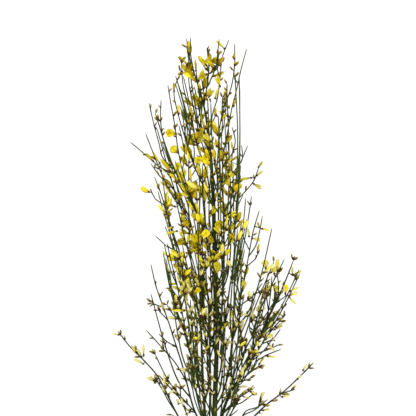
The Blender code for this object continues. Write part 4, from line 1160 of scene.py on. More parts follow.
def settingTree():
    # sets the kinds of one collection on the points
    tree = newTree("setOnTwigs", [("Kinds", "NodeSocketCollection"), ("Petals", "NodeSocketMaterial"),
                                  ("Cups", "NodeSocketMaterial")])
    given = addNode(tree, "NodeGroupInput").outputs
    kinds = addNode(tree, "GeometryNodeCollectionInfo", [
        ("Collection", given["Kinds"]), ("Separate Children", True), ("Reset Children", True)])

    def named(label, dataType):
        node = addNode(tree, "GeometryNodeInputNamedAttribute", [("Name", label)], data_type=dataType)
        return node.outputs[0]

    turn = addNode(tree, "FunctionNodeEulerToRotation", [("Euler", named("turn", "FLOAT_VECTOR"))])
    placed = addNode(tree, "GeometryNodeInstanceOnPoints", [
        ("Points", given["Geometry"]), ("Instance", kinds.outputs[0]), ("Pick Instance", True),
        ("Instance Index", named("kind", "INT")), ("Rotation", turn.outputs[0]),
        ("Scale", named("size", "FLOAT_VECTOR"))])
    real = addNode(tree, "GeometryNodeRealizeInstances", [("Geometry", placed.outputs[0])])
    part = addNode(tree, "ShaderNodeSeparateXYZ", [(0, named("petal", "FLOAT_VECTOR"))])
    isCup = addNode(tree, "FunctionNodeCompare", [(0, part.outputs[2]), (1, 1.5)], data_type="FLOAT",
                    operation="GREATER_THAN")
    petals = addNode(tree, "GeometryNodeSetMaterial", [("Geometry", real.outputs[0]),
                                                       ("Material", given["Petals"])])
    cups = addNode(tree, "GeometryNodeSetMaterial", [
        ("Geometry", petals.outputs[0]), ("Selection", isCup.outputs[0]), ("Material", given["Cups"])])
    addNode(tree, "NodeGroupOutput", [(0, cups.outputs[0])])
    return tree


def turnAlong(forward, roll):
    # Euler angles of a thing that points along forward, rolled round it
    forward = Vector(forward).normalized()
    sideways = forward.cross(Vector((0, 0, 1)))
    sideways = sideways.normalized() if sideways.length > 0.01 else Vector((1, 0, 0))
    axes = Matrix((-sideways, sideways.cross(forward), forward)).transposed()
    return tuple((axes @ Matrix.Rotation(roll, 3, "Z")).to_euler())


# Colours are in linear light. A list of stops runs from 0 to 1: cream, lemon, mustard, ochre, brown
barkLook = {
    "thin": (0.024, 0.044, 0.008, 1), "young": (0.048, 0.080, 0.010, 1), "thick": (0.032, 0.054, 0.008, 1),
    "rib": (0.070, 0.105, 0.018, 1), "shade": (0.014, 0.022, 0.005, 1), "tip": (0.11, 0.082, 0.020, 1),
    "speck": (0.13, 0.115, 0.040, 1), "speckSize": 900, "patchSize": 55, "streaks": (2.4, 2.4, 160.0),
    "crown": (0.36, 0.56), "thickness": (0.0009, 0.0036), "ribStrength": 0.35,
    "roughness": (0.5, 0.75), "specular": 0.06,
}
petalLook = {
    "stops": [(0.0, (0.64, 0.59, 0.23, 1)), (0.22, (0.70, 0.62, 0.050, 1)), (0.42, (0.76, 0.62, 0.005, 1)),
              (0.70, (0.42, 0.31, 0.003, 1)), (1.0, (0.15, 0.085, 0.002, 1))],
    "vein": (0.24, 0.14, 0.007, 1), "veins": 26.0, "wobble": 7.0, "veinStrength": (0.17, 0.02),
    "foot": (0.16, 0.060, 0.004, 1), "footReach": 0.42, "dry": (0.22, 0.12, 0.018, 1), "dryStrength": 0.6,
    # the fold's tone rise is painted shade: how much darker a petal is where it folds
    "drySize": 420, "blotch": 0.26, "blotchSize": 260, "paintedCreaseShade": 0.30, "keel": 0.16, "roughness": 0.6,
}
cutLook = {
    "pith": (0.50, 0.38, 0.20, 1), "ring": (0.30, 0.21, 0.10, 1), "bark": (0.08, 0.07, 0.03, 1),
    "middle": (0.001, 0, -0.0047), "rings": 9000.0, "barkFrom": (0.0043, 0.0048), "edge": -0.0195,
    "roughness": 0.8,
}


def newMaterial(name, roughness=0.7, specular=0.08):
    made = bpy.data.materials.new(name)
    made.use_nodes = True
    shader = made.node_tree.nodes["Principled BSDF"]
    shader.inputs["Roughness"].default_value = roughness
    shader.inputs["Specular IOR Level"].default_value = specular
    return made, made.node_tree, shader


def mixColours(tree, amount, first, second):
    # from the first colour to the second as the amount goes from 0 to 1
    node = addNode(tree, "ShaderNodeMix", [("Factor", amount), (6, first), (7, second)], data_type="RGBA")
    return node.outputs[2]


def remap(tree, value, low, high, toLow=0.0, toHigh=1.0):
    node = addNode(tree, "ShaderNodeMapRange", [("Value", value), ("From Min", low), ("From Max", high),
                                                ("To Min", toLow), ("To Max", toHigh)], clamp=True)
    return node.outputs["Result"]


def readAttribute(tree, name, output="Fac"):
    return addNode(tree, "ShaderNodeAttribute", attribute_name=name).outputs[output]


def objectPlace(tree):
    return addNode(tree, "ShaderNodeTexCoord").outputs["Object"]


def separate(tree, vector):
    return addNode(tree, "ShaderNodeSeparateXYZ", [(0, vector)]).outputs


def lengthOf(tree, vector):
    return addNode(tree, "ShaderNodeVectorMath", [(0, vector)], operation="LENGTH").outputs["Value"]


def patchGroup():
    # soft blotches in the object's own place, used by bark, petals, buds and cups
    tree = bpy.data.node_groups.new("dryPatches", "ShaderNodeTree")
    for label in ("Size", "Low", "High"):
        tree.interface.new_socket(label, in_out="INPUT", socket_type="NodeSocketFloat")
    tree.interface.new_socket("Mask", in_out="OUTPUT", socket_type="NodeSocketFloat")
    given = addNode(tree, "NodeGroupInput").outputs
    noise = addNode(tree, "ShaderNodeTexNoise", [("Vector", objectPlace(tree)), ("Scale", given["Size"]),
                                                 ("Detail", 3.0), ("Roughness", 0.6)])
    mask = remap(tree, noise.outputs["Fac"], given["Low"], given["High"])
    addNode(tree, "NodeGroupOutput", [("Mask", mask)])
    return tree


def patches(tree, size, low, high):
    node = addNode(tree, "ShaderNodeGroup", [("Size", size), ("Low", low), ("High", high)],
                   node_tree=patchTree)
    return node.outputs["Mask"]


def finishMaterial(tree, shader, colour, height, strength, distance):
    # the colour and the bump of a material that is ready
    bump = addNode(tree, "ShaderNodeBump", [("Height", height), ("Strength", strength),
                                            ("Distance", distance)])
    tree.links.new(bump.outputs["Normal"], shader.inputs["Normal"])
    tree.links.new(colour, shader.inputs["Base Color"])


def barkMaterial(name, weather):
    # ridged green bark: lighter ribs, long streaks, corky specks where it is thick, dry tips
    look = barkLook
    made, tree, shader = newMaterial(name, specular=look["specular"])
    around = readAttribute(tree, "around", "Vector")
    across = lengthOf(tree, around)
    x, y, z = separate(tree, around)
    place = addNode(tree, "ShaderNodeCombineXYZ", [(0, x), (1, y), (2, readAttribute(tree, "along"))])
    stretched = addNode(tree, "ShaderNodeMapping", [("Vector", place.outputs[0]),
                                                    ("Scale", look["streaks"])])
    streak = addNode(tree, "ShaderNodeTexNoise", [("Vector", stretched.outputs[0]), ("Scale", 1.0),
                                                  ("Detail", 4.0)]).outputs["Fac"]
    height = separate(tree, objectPlace(tree))[1]
    shade = readAttribute(tree, "shade")
    colour = mixColours(tree, remap(tree, height, *look["crown"]), look["thin"], look["young"])
    thick = remap(tree, readAttribute(tree, "thick"), *look["thickness"])
    colour = mixColours(tree, thick, colour, look["thick"])
    ribs = calculate(tree, "MULTIPLY", remap(tree, across, 0.86, 1.0), look["ribStrength"])
    specks = calculate(tree, "MULTIPLY", patches(tree, look["speckSize"], 0.60, 0.70), weather)
    for mask, layer in (
        (ribs, "rib"),
        (remap(tree, streak, 0.45, 0.75, 0, 0.45), "rib"),
        (patches(tree, look["patchSize"], 0.45, 0.75), "shade"),
        (remap(tree, shade, 0.55, 1.0, 0, 0.8), "shade"),
        (remap(tree, shade, 0.4, 0.0, 0, 0.5), "rib"),
        (specks, "speck"),
        (remap(tree, readAttribute(tree, "reach"), 0.93, 1.0, 0, 0.8), "tip"),
    ):
        colour = mixColours(tree, mask, colour, look[layer])
    tree.links.new(remap(tree, streak, 0.3, 0.8, *look["roughness"]), shader.inputs["Roughness"])
    finishMaterial(tree, shader, colour, streak, 0.5, 0.0002)
    return made


def rampColours(tree, value, stops):
    ramp = addNode(tree, "ShaderNodeValToRGB", [(0, value)])
    while len(ramp.color_ramp.elements) < len(stops):
        ramp.color_ramp.elements.new(0.5)
    for element, (position, colour) in zip(ramp.color_ramp.elements, stops):
        element.position = position
        element.color = colour
    return ramp.outputs["Color"]


def petalMaterial(name):
    # a dry petal: cream to mustard, painted shade darkening it towards its fold, veins that fan out, a brown
    # foot and dry patches on the rim
    look = petalLook
    made, tree, shader = newMaterial(name, look["roughness"])
    petal = readAttribute(tree, "petal", "Vector")
    along, across, part = separate(tree, petal)
    edge = calculate(tree, "ABSOLUTE", across)
    blotch = patches(tree, look["blotchSize"], 0.35, 0.7)
    tone = calculate(tree, "MULTIPLY_ADD", blotch, look["blotch"], readAttribute(tree, "tone"))
    # painted shade: the tone grows, so the colour darkens, towards the petal's fold in the middle
    tone = calculate(tree, "ADD", tone, remap(tree, edge, 0.0, 0.8, look["paintedCreaseShade"], 0.0))
    tone = calculate(tree, "ADD", tone, remap(tree, part, 0.35, 0.6, 0.0, look["keel"]))
    colour = rampColours(tree, tone, look["stops"])
    wobble = addNode(tree, "ShaderNodeTexNoise", [("Vector", petal), ("Scale", 5.0)]).outputs["Fac"]
    fan = calculate(tree, "MULTIPLY", across, look["veins"])
    fan = calculate(tree, "MULTIPLY_ADD", wobble, look["wobble"], fan)
    veins = remap(tree, calculate(tree, "SINE", fan), 0.55, 1.0)
    fade = remap(tree, along, 0.15, 0.95, *look["veinStrength"])
    colour = mixColours(tree, calculate(tree, "MULTIPLY", veins, fade), colour, look["vein"])
    colour = mixColours(tree, remap(tree, along, 0.0, look["footReach"], 0.9, 0.0), colour, look["foot"])
    rim = calculate(tree, "MAXIMUM", remap(tree, edge, 0.84, 1.0), remap(tree, along, 0.9, 1.0))
    dry = calculate(tree, "MULTIPLY", rim, patches(tree, look["drySize"], 0.48, 0.62))
    dry = calculate(tree, "MULTIPLY", dry, look["dryStrength"])
    colour = mixColours(tree, dry, colour, look["dry"])
    finishMaterial(tree, shader, colour, veins, 0.35, 0.0001)
    return made


def budMaterial(name):
    # a closed bud: brown at its foot, paler towards the tip on one side, partly its own colour and partly a
    # painted highlight, streaked
    look = budLook
    made, tree, shader = newMaterial(name, look["roughness"])
    along, across, part = separate(tree, readAttribute(tree, "petal", "Vector"))
    blotch = patches(tree, look["blotchSize"], 0.35, 0.7)
    tone = calculate(tree, "MULTIPLY_ADD", blotch, look["blotch"], readAttribute(tree, "tone"))
    colour = rampColours(tree, tone, look["stops"])
    # the paler tip on one side of the bud is partly the bud's own colour and partly a painted highlight
    paleTipAndHighlight = calculate(tree, "MULTIPLY", remap(tree, along, 0.55, 0.95), remap(tree, across, -0.3, 0.9))
    tip = mixColours(tree, remap(tree, tone, 0.25, 0.6), look["tip"], look["crownTip"])
    colour = mixColours(tree, paleTipAndHighlight, colour, tip)
    colour = mixColours(tree, remap(tree, along, 0.05, look["footReach"], 0.85, 0.0), colour, look["foot"])
    finishMaterial(tree, shader, colour, blotch, 0.3, 0.0001)
    return made


def cupMaterial(name):
    # the dark calyx, a little green in places
    look = cupLook
    made, tree, shader = newMaterial(name)
    along, across, part = separate(tree, readAttribute(tree, "petal", "Vector"))
    colour = mixColours(tree, patches(tree, look["patchSize"], 0.4, 0.65), look["dark"], look["light"])
    green = calculate(tree, "MULTIPLY", patches(tree, look["greenSize"], 0.52, 0.60), look["greenStrength"])
    colour = mixColours(tree, green, colour, look["green"])
    tree.links.new(remap(tree, across, -1, 1, *look["roughness"]), shader.inputs["Roughness"])
    finishMaterial(tree, shader, colour, patches(tree, look["grainSize"], 0.3, 0.7), 0.3, 0.0001)
    return made


def cutMaterial(name):
    # the cut end: pith, rings and a thin bark
    look = cutLook
    made, tree, shader = newMaterial(name, look["roughness"])
    moved = addNode(tree, "ShaderNodeMapping", [("Vector", objectPlace(tree)), ("Location", look["middle"]),
                                                ("Scale", (1, 0, 1))])
    out = lengthOf(tree, moved.outputs[0])
    rings = calculate(tree, "SINE", calculate(tree, "MULTIPLY", out, look["rings"]))
    colour = mixColours(tree, remap(tree, rings, -0.2, 1.0, 0, 0.8), look["pith"], look["ring"])
    colour = mixColours(tree, remap(tree, out, *look["barkFrom"]), colour, look["bark"])
    tree.links.new(colour, shader.inputs["Base Color"])
    return made


# Tones: 0 is the first colour stop and 1 the last. The crown's own share grows between two heights in mm
toneLook = {
    "petal": -0.26, "petalCrown": 0.08, "crown": (260, 400), "crownMore": 0.32, "less": 0.14,
    "top": (510, 610), "topMore": 0.24, "ochre": 0.28, "ochreShare": (0.15, 0.29),
    "budCrown": (260, 480), "budCrownMore": 0.42, "bud": (-0.08, 0.38), "cup": 0.5,
}


def crownShare(y, low, high):
    # 0 below the first height, 1 above the second
    return min(max((y - low) / (high - low), 0), 1)


def budTone(y, chance):
    # dark olive with some cream low down, mustard among it in the crown
    rise = toneLook["budCrownMore"] * crownShare(y, *toneLook["budCrown"])
    return min(rise + chance.uniform(*toneLook["bud"]), 1)


def petalTone(y, chance):
    # creamy low down, then lemon, with mustard and ochre flowers among them in the crown
    look = toneLook
    share = crownShare(y, *look["crown"])
    tone = chance.uniform(look["petal"], look["petalCrown"] * share)
    tone += look["crownMore"] * share
    tone += look["topMore"] * crownShare(y, *look["top"]) - look["less"]
    if chance.random() < look["ochreShare"][0] + look["ochreShare"][1] * share:
        tone += look["ochre"]
    return tone


def flowerSpot(start, end, form, width, chance):
    # one flower: each form has its kinds in a row, one of which chance picks
    length = float(np.linalg.norm(end - start))
    count = flowerLook["kindsEach"]
    kind = sorted(addPetals).index(form) * count + chance.randrange(count)
    return {"at": start, "turn": turnAlong(end - start, 0), "tone": petalTone(start[1], chance),
            "kind": kind, "size": (width * mm, min(width, flowerLook["deepest"]) * mm, length * mm)}


def cupSpot(calyx, start):
    length = max(float(np.linalg.norm(start - calyx)), cupLook["shortest"])
    return {"at": start, "turn": turnAlong(unit(start - calyx), 0), "tone": toneLook["cup"], "kind": 0,
            "size": (cupLook["width"] * mm, cupLook["width"] * mm, length * mm)}


def budSpot(root, forward, length, chance):
    size = length * mm * np.interp(root[1], budLook["lowEnds"], (budLook["lowSize"], 1.0))
    return {"at": root + forward * budLook["offset"] * length,
            "turn": turnAlong(forward, chance.uniform(0, 6)), "tone": budTone(root[1], chance),
            "kind": chance.randrange(len(budLook["kinds"])),
            "size": [size * share for share in budLook["size"]]}


# Twigs seen low down in the photo: shoot, height of the tip, then places from the shoot out
lowTwigs = [
    ("left_tall_shoot", 6, (2, 186), (-4, 200), (-9, 220), (-12, 245), (-14, 270)),
    ("left_inner_shoot", 30, (-3, 168), (-12, 186), (-18, 205), (-21, 228), (-23, 250)),
    ("left_long_shoot", 24, (-2, 165), (-8, 188), (-11, 212), (-13, 240), (-15, 262)),
    ("woody_stem", 14, (7, 160), (15, 176), (24, 188), (33, 197)),
    ("right_main_shoot", 4, (16, 165), (28, 178), (38, 186)),
    ("right_main_shoot", 20, (30, 211), (44, 222), (52, 238), (57, 255)),
    ("right_main_shoot", 24, (48, 245), (60, 258), (68, 270), (74, 284)),
    ("right_main_shoot", 12, (16, 165), (25, 182), (31, 200), (37, 214), (41, 226)),
    ("right_main_shoot", 5, (18, 180), (30, 192), (40, 204), (52, 213)),
    ("right_main_shoot", 16, (30, 211), (36, 232), (39, 252), (42, 272)),
    ("left_low_spray", 9, (-39, 180), (-50, 197), (-58, 212), (-68, 228)),
    ("woody_stem", 10, (-6, 150), (-18, 166), (-27, 182), (-33, 200)),
    ("woody_stem", 26, (8, 152), (20, 168), (30, 184), (36, 202)),
    ("right_main_shoot", 12, (50, 242), (63, 254), (73, 264), (82, 278)),
]

# How much grows everywhere, and where it crowds or thins out: place and reach across and along, then how
# much more of twigs, buds and flowers there
everywhere = (0.10, 0.14, 0.02)
crowding = [
    (-28, 650, 14, 14, -0.2, -0.2, -0.4), (-30, 628, 12, 12, 0, 0.1, 0.3),
    (-25, 615, 20, 15, 0.15, 0.35, 0.6), (-10, 620, 9, 18, 0.1, 0.6, 0.8),
    (10, 610, 12, 20, 0, 0.15, 0.4), (48, 613, 10, 25, 0, 0.7, 0), (0, 590, 80, 60, 0, 0.1, 0),
    (0, 590, 10, 30, 0, 0.2, 0.25), (-30, 565, 10, 32, -0.9, -0.5, -0.6),
    (-60, 560, 20, 45, -1.2, 0.05, -0.4), (-20, 565, 16, 16, -0.1, 0.2, 0.2),
    (-3, 580, 12, 20, 0.15, 0.2, 0.3), (10, 582, 10, 14, 0.1, 0.6, 0.9), (23, 575, 9, 20, 0.05, 0.3, 0.2),
    (29, 558, 12, 28, -0.9, -0.2, -0.5), (15, 550, 12, 16, 0, 0.2, 0),
    (-20, 532, 20, 18, 0.45, 0.6, 0.05), (-82, 513, 16, 9, 0, 0.6, 0.8), (8, 524, 28, 14, 0.1, 0.2, 0.7),
    (30, 507, 10, 14, -0.2, -0.1, -0.2), (12, 500, 10, 20, 0.2, 0.6, 0.8),
    (48, 508, 11, 20, -0.5, -0.2, -0.5), (-50, 500, 10, 14, -0.5, -0.3, -0.9),
    (-24, 488, 22, 16, 0.3, 0.2, 0.5), (70, 490, 9, 9, 0, 0.9, 0.9), (-65, 482, 12, 24, -0.3, 0, -0.3),
    (-48, 474, 18, 14, 0, 0.1, 0.55), (0, 480, 75, 70, 0, 0, -0.12), (-30, 470, 8, 8, -0.1, -0.2, -0.5),
    (22, 472, 15, 16, 0.1, 0.1, 0.3), (50, 470, 9, 12, 0, 0.4, 0.7), (-25, 462, 26, 60, 0.4, 0.05, 0),
    (-10, 460, 9, 17, 0.4, 0.7, 0.65), (-25, 455, 18, 15, 0.3, 0.2, 0.8),
    (-70, 455, 12, 10, 0.1, 0.2, 0.3), (30, 452, 9, 10, 0.1, 0.2, 0.2),
    (-52, 440, 14, 15, 0.05, 0.1, 0.65), (0, 440, 50, 70, 0.3, 0.05, 0),
    (56, 428, 12, 24, -0.8, -0.1, -0.15), (28, 424, 15, 20, 0.05, 0.15, 0.35),
    (-50, 420, 12, 10, 0.1, 0.2, 0.3), (-10, 420, 22, 12, 0.1, 0.1, 0.25),
    (12, 414, 9, 14, 0.05, -0.3, 0), (58, 411, 16, 14, 0, 0.15, 0.3), (0, 400, 60, 60, 0.1, -0.1, 0),
    (-50, 396, 10, 14, -0.4, -0.3, -0.5), (-22, 395, 24, 18, 0.1, 0.2, 0.35),
    (50, 392, 9, 10, -0.3, -0.2, -0.2), (70, 385, 20, 40, 0.35, 0.1, 0.05),
    (0, 380, 20, 18, 0.1, 0.25, 0.4), (-70, 370, 9, 9, 0.1, 0.5, 0.8), (-30, 370, 10, 30, 0.2, 0.25, 0.2),
    (32, 368, 12, 30, -0.4, -0.15, 0), (76, 366, 14, 14, 0, 0.35, 0.7), (50, 357, 9, 12, 0.15, 0.5, 0.5),
    (104, 355, 16, 26, -1, 0, 0), (0, 350, 90, 45, 0, 0, 0.09), (-50, 348, 10, 16, -0.5, -0.5, -0.6),
    (70, 348, 10, 9, -0.5, -0.6, -0.6), (-20, 342, 20, 14, 0.1, 0.3, 0.5),
    (-70, 340, 12, 12, -0.2, -0.1, -0.2), (70, 332, 18, 16, 0.4, 0.6, 0.35),
    (110, 332, 9, 9, 0, 0.2, 0.3), (30, 322, 9, 14, -0.7, -0.6, -0.2), (-29, 321, 14, 18, 0.6, 0.9, 0.7),
    (-68, 320, 18, 70, -1, -0.05, 0), (-9, 320, 9, 110, -0.6, -0.25, -0.05),
    (0, 315, 16, 12, 0.1, 0.2, 0.3), (-52, 312, 12, 20, 0.3, 0.6, 0.35), (0, 300, 46, 120, 0.45, 0.05, 0),
    (36, 300, 20, 20, 0.3, 0.2, 0.05), (52, 295, 14, 20, 0.3, 0.4, 0.3),
    (-10, 290, 9, 40, 0.2, 0.15, 0.05), (84, 288, 12, 18, 0.3, 0.45, 0.55),
    (53, 276, 23, 18, 0.8, 1, 0.25), (10, 275, 10, 36, 1.1, 0.3, 0.15), (-2, 274, 32, 19, 0.2, 0.65, 0.2),
    (-68, 270, 22, 80, -0.5, -0.2, -0.1), (-44, 270, 24, 24, 0, 0.35, 0), (70, 268, 9, 10, 0.6, 0.9, 0.6),
    (-5, 265, 40, 35, 0, 0, 0.12), (34, 267, 18, 50, 0.6, 0.3, 0.05), (-105, 262, 14, 14, 0, 0.1, 0.5),
    (-45, 260, 14, 60, -0.6, 0, 0), (0, 260, 130, 90, 0, 0.1, 0), (-90, 250, 9, 9, 0, 0.6, 0.8),
    (-50, 250, 9, 9, 0, 0.5, 0.2), (-90, 242, 20, 40, -1, -0.1, -0.1), (50, 240, 9, 16, 0.3, 0.4, 0.1),
    (-48, 238, 14, 26, -0.6, -0.5, -0.2), (9, 240, 10, 36, -0.7, -0.7, -0.05),
    (30, 230, 9, 20, -0.6, -0.4, 0), (0, 225, 110, 60, 0, 0.06, 0.07), (-73, 220, 16, 16, 0, 0.35, 0.3),
    (-30, 220, 9, 18, -0.9, -0.6, -0.1), (34, 220, 28, 22, 0.4, 0.6, 0.15),
    (-60, 215, 22, 30, -1, 0.1, 0), (-16, 215, 24, 24, 0.2, 0.25, 0), (95, 215, 50, 45, -0.6, 0.1, 0),
    (70, 211, 19, 14, 0, 0.9, 0.15), (90, 210, 9, 9, 0, 0.7, 0.35), (-58, 208, 16, 20, 0, 0.7, 0.4),
    (11, 202, 10, 18, 0.7, 0.1, 0), (-10, 200, 9, 14, 0.5, 0.5, 0.05), (34, 191, 13, 9, 0.3, 0.9, 0.25),
    (-30, 190, 12, 10, 0, 0.9, 0.3), (0, 190, 70, 60, 0.2, 0.1, 0), (70, 190, 9, 8, 0, 0.9, 0.4),
]
crowdingTable = np.array(crowding)


def crowd(place, column):
    # how much of one thing grows at a place: 0 twigs, 1 buds, 2 flowers
    across, along, acrossReach, alongReach = crowdingTable[:, :4].T
    near = np.exp(-((place[0] - across) / acrossReach) ** 2 - ((place[1] - along) / alongReach) ** 2)
    share = everywhere[column] + float((near * crowdingTable[:, 4 + column]).sum())
    return min(max(share, 0.0), 1.0)


# What grows besides the solids' own twigs, buds and flowers. Gaps and lengths are in mm, leans in degrees.
# Where a name ends in From, its two numbers are the places along the branch where a change begins and ends
extraLook = {
    "seed": 8, "bareFoot": 60, "room": 0.2, "highest": 108,
    "twigFoot": 8, "twigEnd": 22, "twigGap": 12, "twigLength": (45, 110), "shortestTwig": 20,
    "thick": (0.95, 0.7), "lean": (4, 17), "bow": ((0.2, 1.8), (0.55, 0.9), (1.0, 0.5)), "rise": (-8, 10),
    "middle": 4, "outward": 0.74, "crownInward": 0.3, "inwardFrom": (430, 520),
    "coreShare": 0.6, "coreRadius": 1.5, "coreLength": (90, 230), "coreThick": (1.2, 0.75),
    "clusterFoot": 6, "clusterGap": 10.0, "gapShare": (0.6, 1.4), "burst": 24, "bursts": (0.25, 0.8, 1.8),
    "even": 0.7, "evenFrom": (510, 560),
    "budShare": (0.46, 0.72), "budsFrom": (270, 380), "perCluster": (1, 3), "single": 0.6,
    "singleFrom": (400, 520), "budLength": (5.4, 8.2), "budSpread": 0.62, "budSpreadShare": (0.7, 1.6),
    "scatter": 3, "nextTurn": (80, 160),
    "flowerShare": 0.56, "pairs": 0.25, "flowerLength": (12.0, 19.5), "flowerWidth": (5.1, 8.5),
    "smallLow": 0.30, "slimLow": 0.45, "fullFrom": (280, 420), "spread": (0.3, 1.6),
    "forms": ("closed", "closed", "closed", "fork", "fork", "open"), "closedBelow": 330,
    "openSize": (0.8, 1.35), "seat": (1.6, 1.4), "calyx": 2.0, "flatten": 0.6, "lowestFlower": 2.6,
    "flowerRods": (1.2, 1.8, 1.4), "flowerNeeds": (1.2, 1.6, 1.4),
}


def chanceAt(name, root, step):
    # chance of its own for every step along a twig, so that a change in one place leaves the others alone
    return random.Random(f"{extraLook['seed']} {name} {root[0]:.0f} {root[1]:.0f} {step}")


def extraTwigs(branch, name):
    # thin twigs that leave a shoot and run on beside it, none of them past its tip
    look = extraLook
    for points, radii in list(branch.twigs[name]):
        along = stepsAlong(points)
        isMain = points is branch.mains[name][0]
        at = look["bareFoot"] if isMain else look["twigFoot"]
        step = 0
        while at < along[-1] - look["twigEnd"]:
            chance = chanceAt(name, points[0], step)
            at += look["twigGap"] * chance.uniform(0.5, 1.2)
            step += 1
            root = placeAt(points, along, at)
            if chance.random() > crowd(root, 0) * (1 - (at / along[-1]) ** 3):
                continue
            ahead = placeAt(points, along, at + 12) - root
            course = math.atan2(ahead[0], ahead[1])
            core = isMain and radii[0] > look["coreRadius"] and chance.random() < look["coreShare"]
            length = chance.uniform(*look["coreLength" if core else "twigLength"])
            length = min(length, (along[-1] - at) * chance.uniform(0.75, 1.0))
            outward = -1 if root[0] < look["middle"] else 1
            outwardShare = look["outward"] - look["crownInward"] * crownShare(root[1], *look["inwardFrom"])
            side = outward if chance.random() < outwardShare else -outward
            lean = side * math.radians(chance.uniform(*look["lean"]))
            places = [tuple(root[:2])]
            for share, turn in look["bow"]:
                angle = course + lean * turn
                places.append((root[0] + math.sin(angle) * length * share,
                               root[1] + math.cos(angle) * length * share))
            height = max(root[2] + ahead[2] / 12 * length + chance.uniform(*look["rise"]), 2)
            if length > look["shortestTwig"]:
                placeTwig(branch, name, min(height, look["highest"]), places,
                          look["coreThick" if core else "thick"], look["highest"])


def extraClusters(branch, name):
    # small groups of buds, and here and there a flower, along every twig
    look = extraLook
    for points, radii in branch.twigs[name]:
        along = stepsAlong(points)
        at = look["bareFoot"] if points is branch.mains[name][0] else look["clusterFoot"]
        step = 0
        while at < along[-1] - 1:
            chance = chanceAt(name, points[0] + 0.3, step)
            root = placeAt(points, along, at)
            ahead = placeAt(points, along, at + 1) - root
            if np.linalg.norm(ahead) < 0.5:
                ahead = points[-1] - points[-2]
            ahead = unit(ahead)
            at += look["clusterGap"] * chance.uniform(*look["gapShare"])
            step += 1
            firstTurn = chance.uniform(0, 360)
            dice = chance.random()
            # flowering goes in bursts along a twig, evened out at the top
            burst = chanceAt(name, points[0], int(at / look["burst"]) + 1000).choice(look["bursts"])
            burst += (1 - burst) * look["even"] * crownShare(root[1], *look["evenFrom"])
            flowers = crowd(root, 2) * look["flowerShare"] * burst
            buds = crowd(root, 1) * np.interp(root[1], look["budsFrom"], look["budShare"]) * burst
            if dice < flowers:
                for turn in (0, 180)[:1 + (chance.random() < look["pairs"])]:
                    placeExtraFlower(branch, name, root, ahead, firstTurn + turn, chance)
            elif dice < flowers + buds:
                least, most = look["perCluster"]
                if chance.random() < look["single"] * crownShare(root[1], *look["singleFrom"]):
                    most = 1
                for number in range(chance.randint(least, most)):
                    length = chance.uniform(*look["budLength"])
                    place = at + chance.uniform(-look["scatter"], look["scatter"])
                    root = placeAt(points, along, min(max(place, 1), along[-1]))
                    turn = firstTurn + number * chance.uniform(*look["nextTurn"])
                    spread = look["budSpread"] * chance.uniform(*look["budSpreadShare"])
                    placeBud(branch, name, root, ahead, turn, length, spread, look["highest"])


def placeExtraFlower(branch, name, root, ahead, firstTurn, chance):
    # a flower on its stalk that leans out of the twig, on the first side of it that is clear
    look = extraLook
    sideways, up = sidesOf(ahead)
    low = 1 - crownShare(root[1], *look["fullFrom"])
    length = chance.uniform(*look["flowerLength"]) * (1 - look["smallLow"] * low)
    width = chance.uniform(*look["flowerWidth"]) * (1 - look["slimLow"] * low)
    form = chance.choice(look["forms"]) if root[1] > look["closedBelow"] else "closed"
    if form == "open":
        length *= look["openSize"][0]
        width *= look["openSize"][1]
    for further in turnsToTry:
        turn = math.radians(firstTurn + further)
        out = sideways * math.cos(turn) + up * math.sin(turn) * look["flatten"]
        forward = unit(ahead + out * chance.uniform(*look["spread"]))
        calyx = root + out * look["seat"][0] + ahead * look["seat"][1]
        start = calyx + forward * look["calyx"]
        end = start + forward * length
        if min(end[2], start[2]) < look["lowestFlower"] or max(end[2], start[2]) > look["highest"]:
            continue
        if branch.roomRound(name, [calyx, start, end], look["flowerNeeds"]) > look["room"]:
            branch.pieces[name].append(("flower", [root, calyx, start], form, width, end))
            branch.addRod(name, [calyx, start, end], look["flowerRods"])
            return


def thinStalk(root, tip):
    share = np.linspace(0, 1, max(3, round(np.linalg.norm(tip - root) / 1.5)))[:, None]
    return root + (tip - root) * share, np.full(len(share), twigLook["stalk"])


def dressShoot(name, pieces, chance):
    # one shoot as one mesh: its twigs, then what is set on them
    rods = []
    spots = {"flowers": [], "cups": [], "buds": []}
    roots = rootsOn(pieces)
    for kind, *values in pieces:
        if kind in ("twig", "stem"):
            rods.append(fineTwig(*values, roots))
        elif kind in ("flower", "stalk"):
            root, calyx, start = values[0]
            rods.append(thinStalk(root, calyx))
            spots["cups"].append(cupSpot(calyx, start))
            if kind == "flower":
                form, width, end = values[1:]
                seat = start - (end - start) * flowerLook["sunk"]
                spots["flowers"].append(flowerSpot(seat, end, form, width, chance))
        else:
            root, forward, length = values
            spots["buds"].append(budSpot(root, forward, length, chance))
            rods.append(thinStalk(root, root + forward * budLook["stalk"] * length))
    isStem = name == "woody_stem"
    bark = {"Ribs": twigLook["stemRibs" if isStem else "ribs"], "Rib Depth": twigLook["ribDepth"],
            "Bark": finishes["stemBark" if isStem else "shootBark"]}
    meshes = [bakeModifier(curveObject(f"{name}_rods", rods), twigTree, bark, f"{name}_bark")]
    for use in spots:
        if spots[use]:
            meshes.append(setOn(use, spots[use], f"{name}_{use}"))
    return joinMeshes(f"{name}_dressed", meshes)


def setOn(use, spots, name):
    # flowers, cups or buds as one mesh
    values = {"Kinds": kinds[use], "Petals": finishes["buds" if use == "buds" else "petals"],
              "Cups": finishes["cups"]}
    return bakeModifier(pointCloud(f"{name}_points", spots), setTree, values, name)


def joinMeshes(name, meshes):
    made = [linkObject(mesh.name, mesh) for mesh in meshes]
    with bpy.context.temp_override(active_object=made[0], selected_objects=made,
                                   selected_editable_objects=made):
        bpy.ops.object.join()
    made[0].name = name
    made[0].data.name = name
    return made[0]


def markCutEnd(stem):
    # the faces across the stem's lower end show the cut wood
    stem.data.materials.append(finishes["cut"])
    for face in stem.data.polygons:
        if face.center.y < cutLook["edge"] and face.normal.y < -0.8:
            face.material_index = len(stem.data.materials) - 1


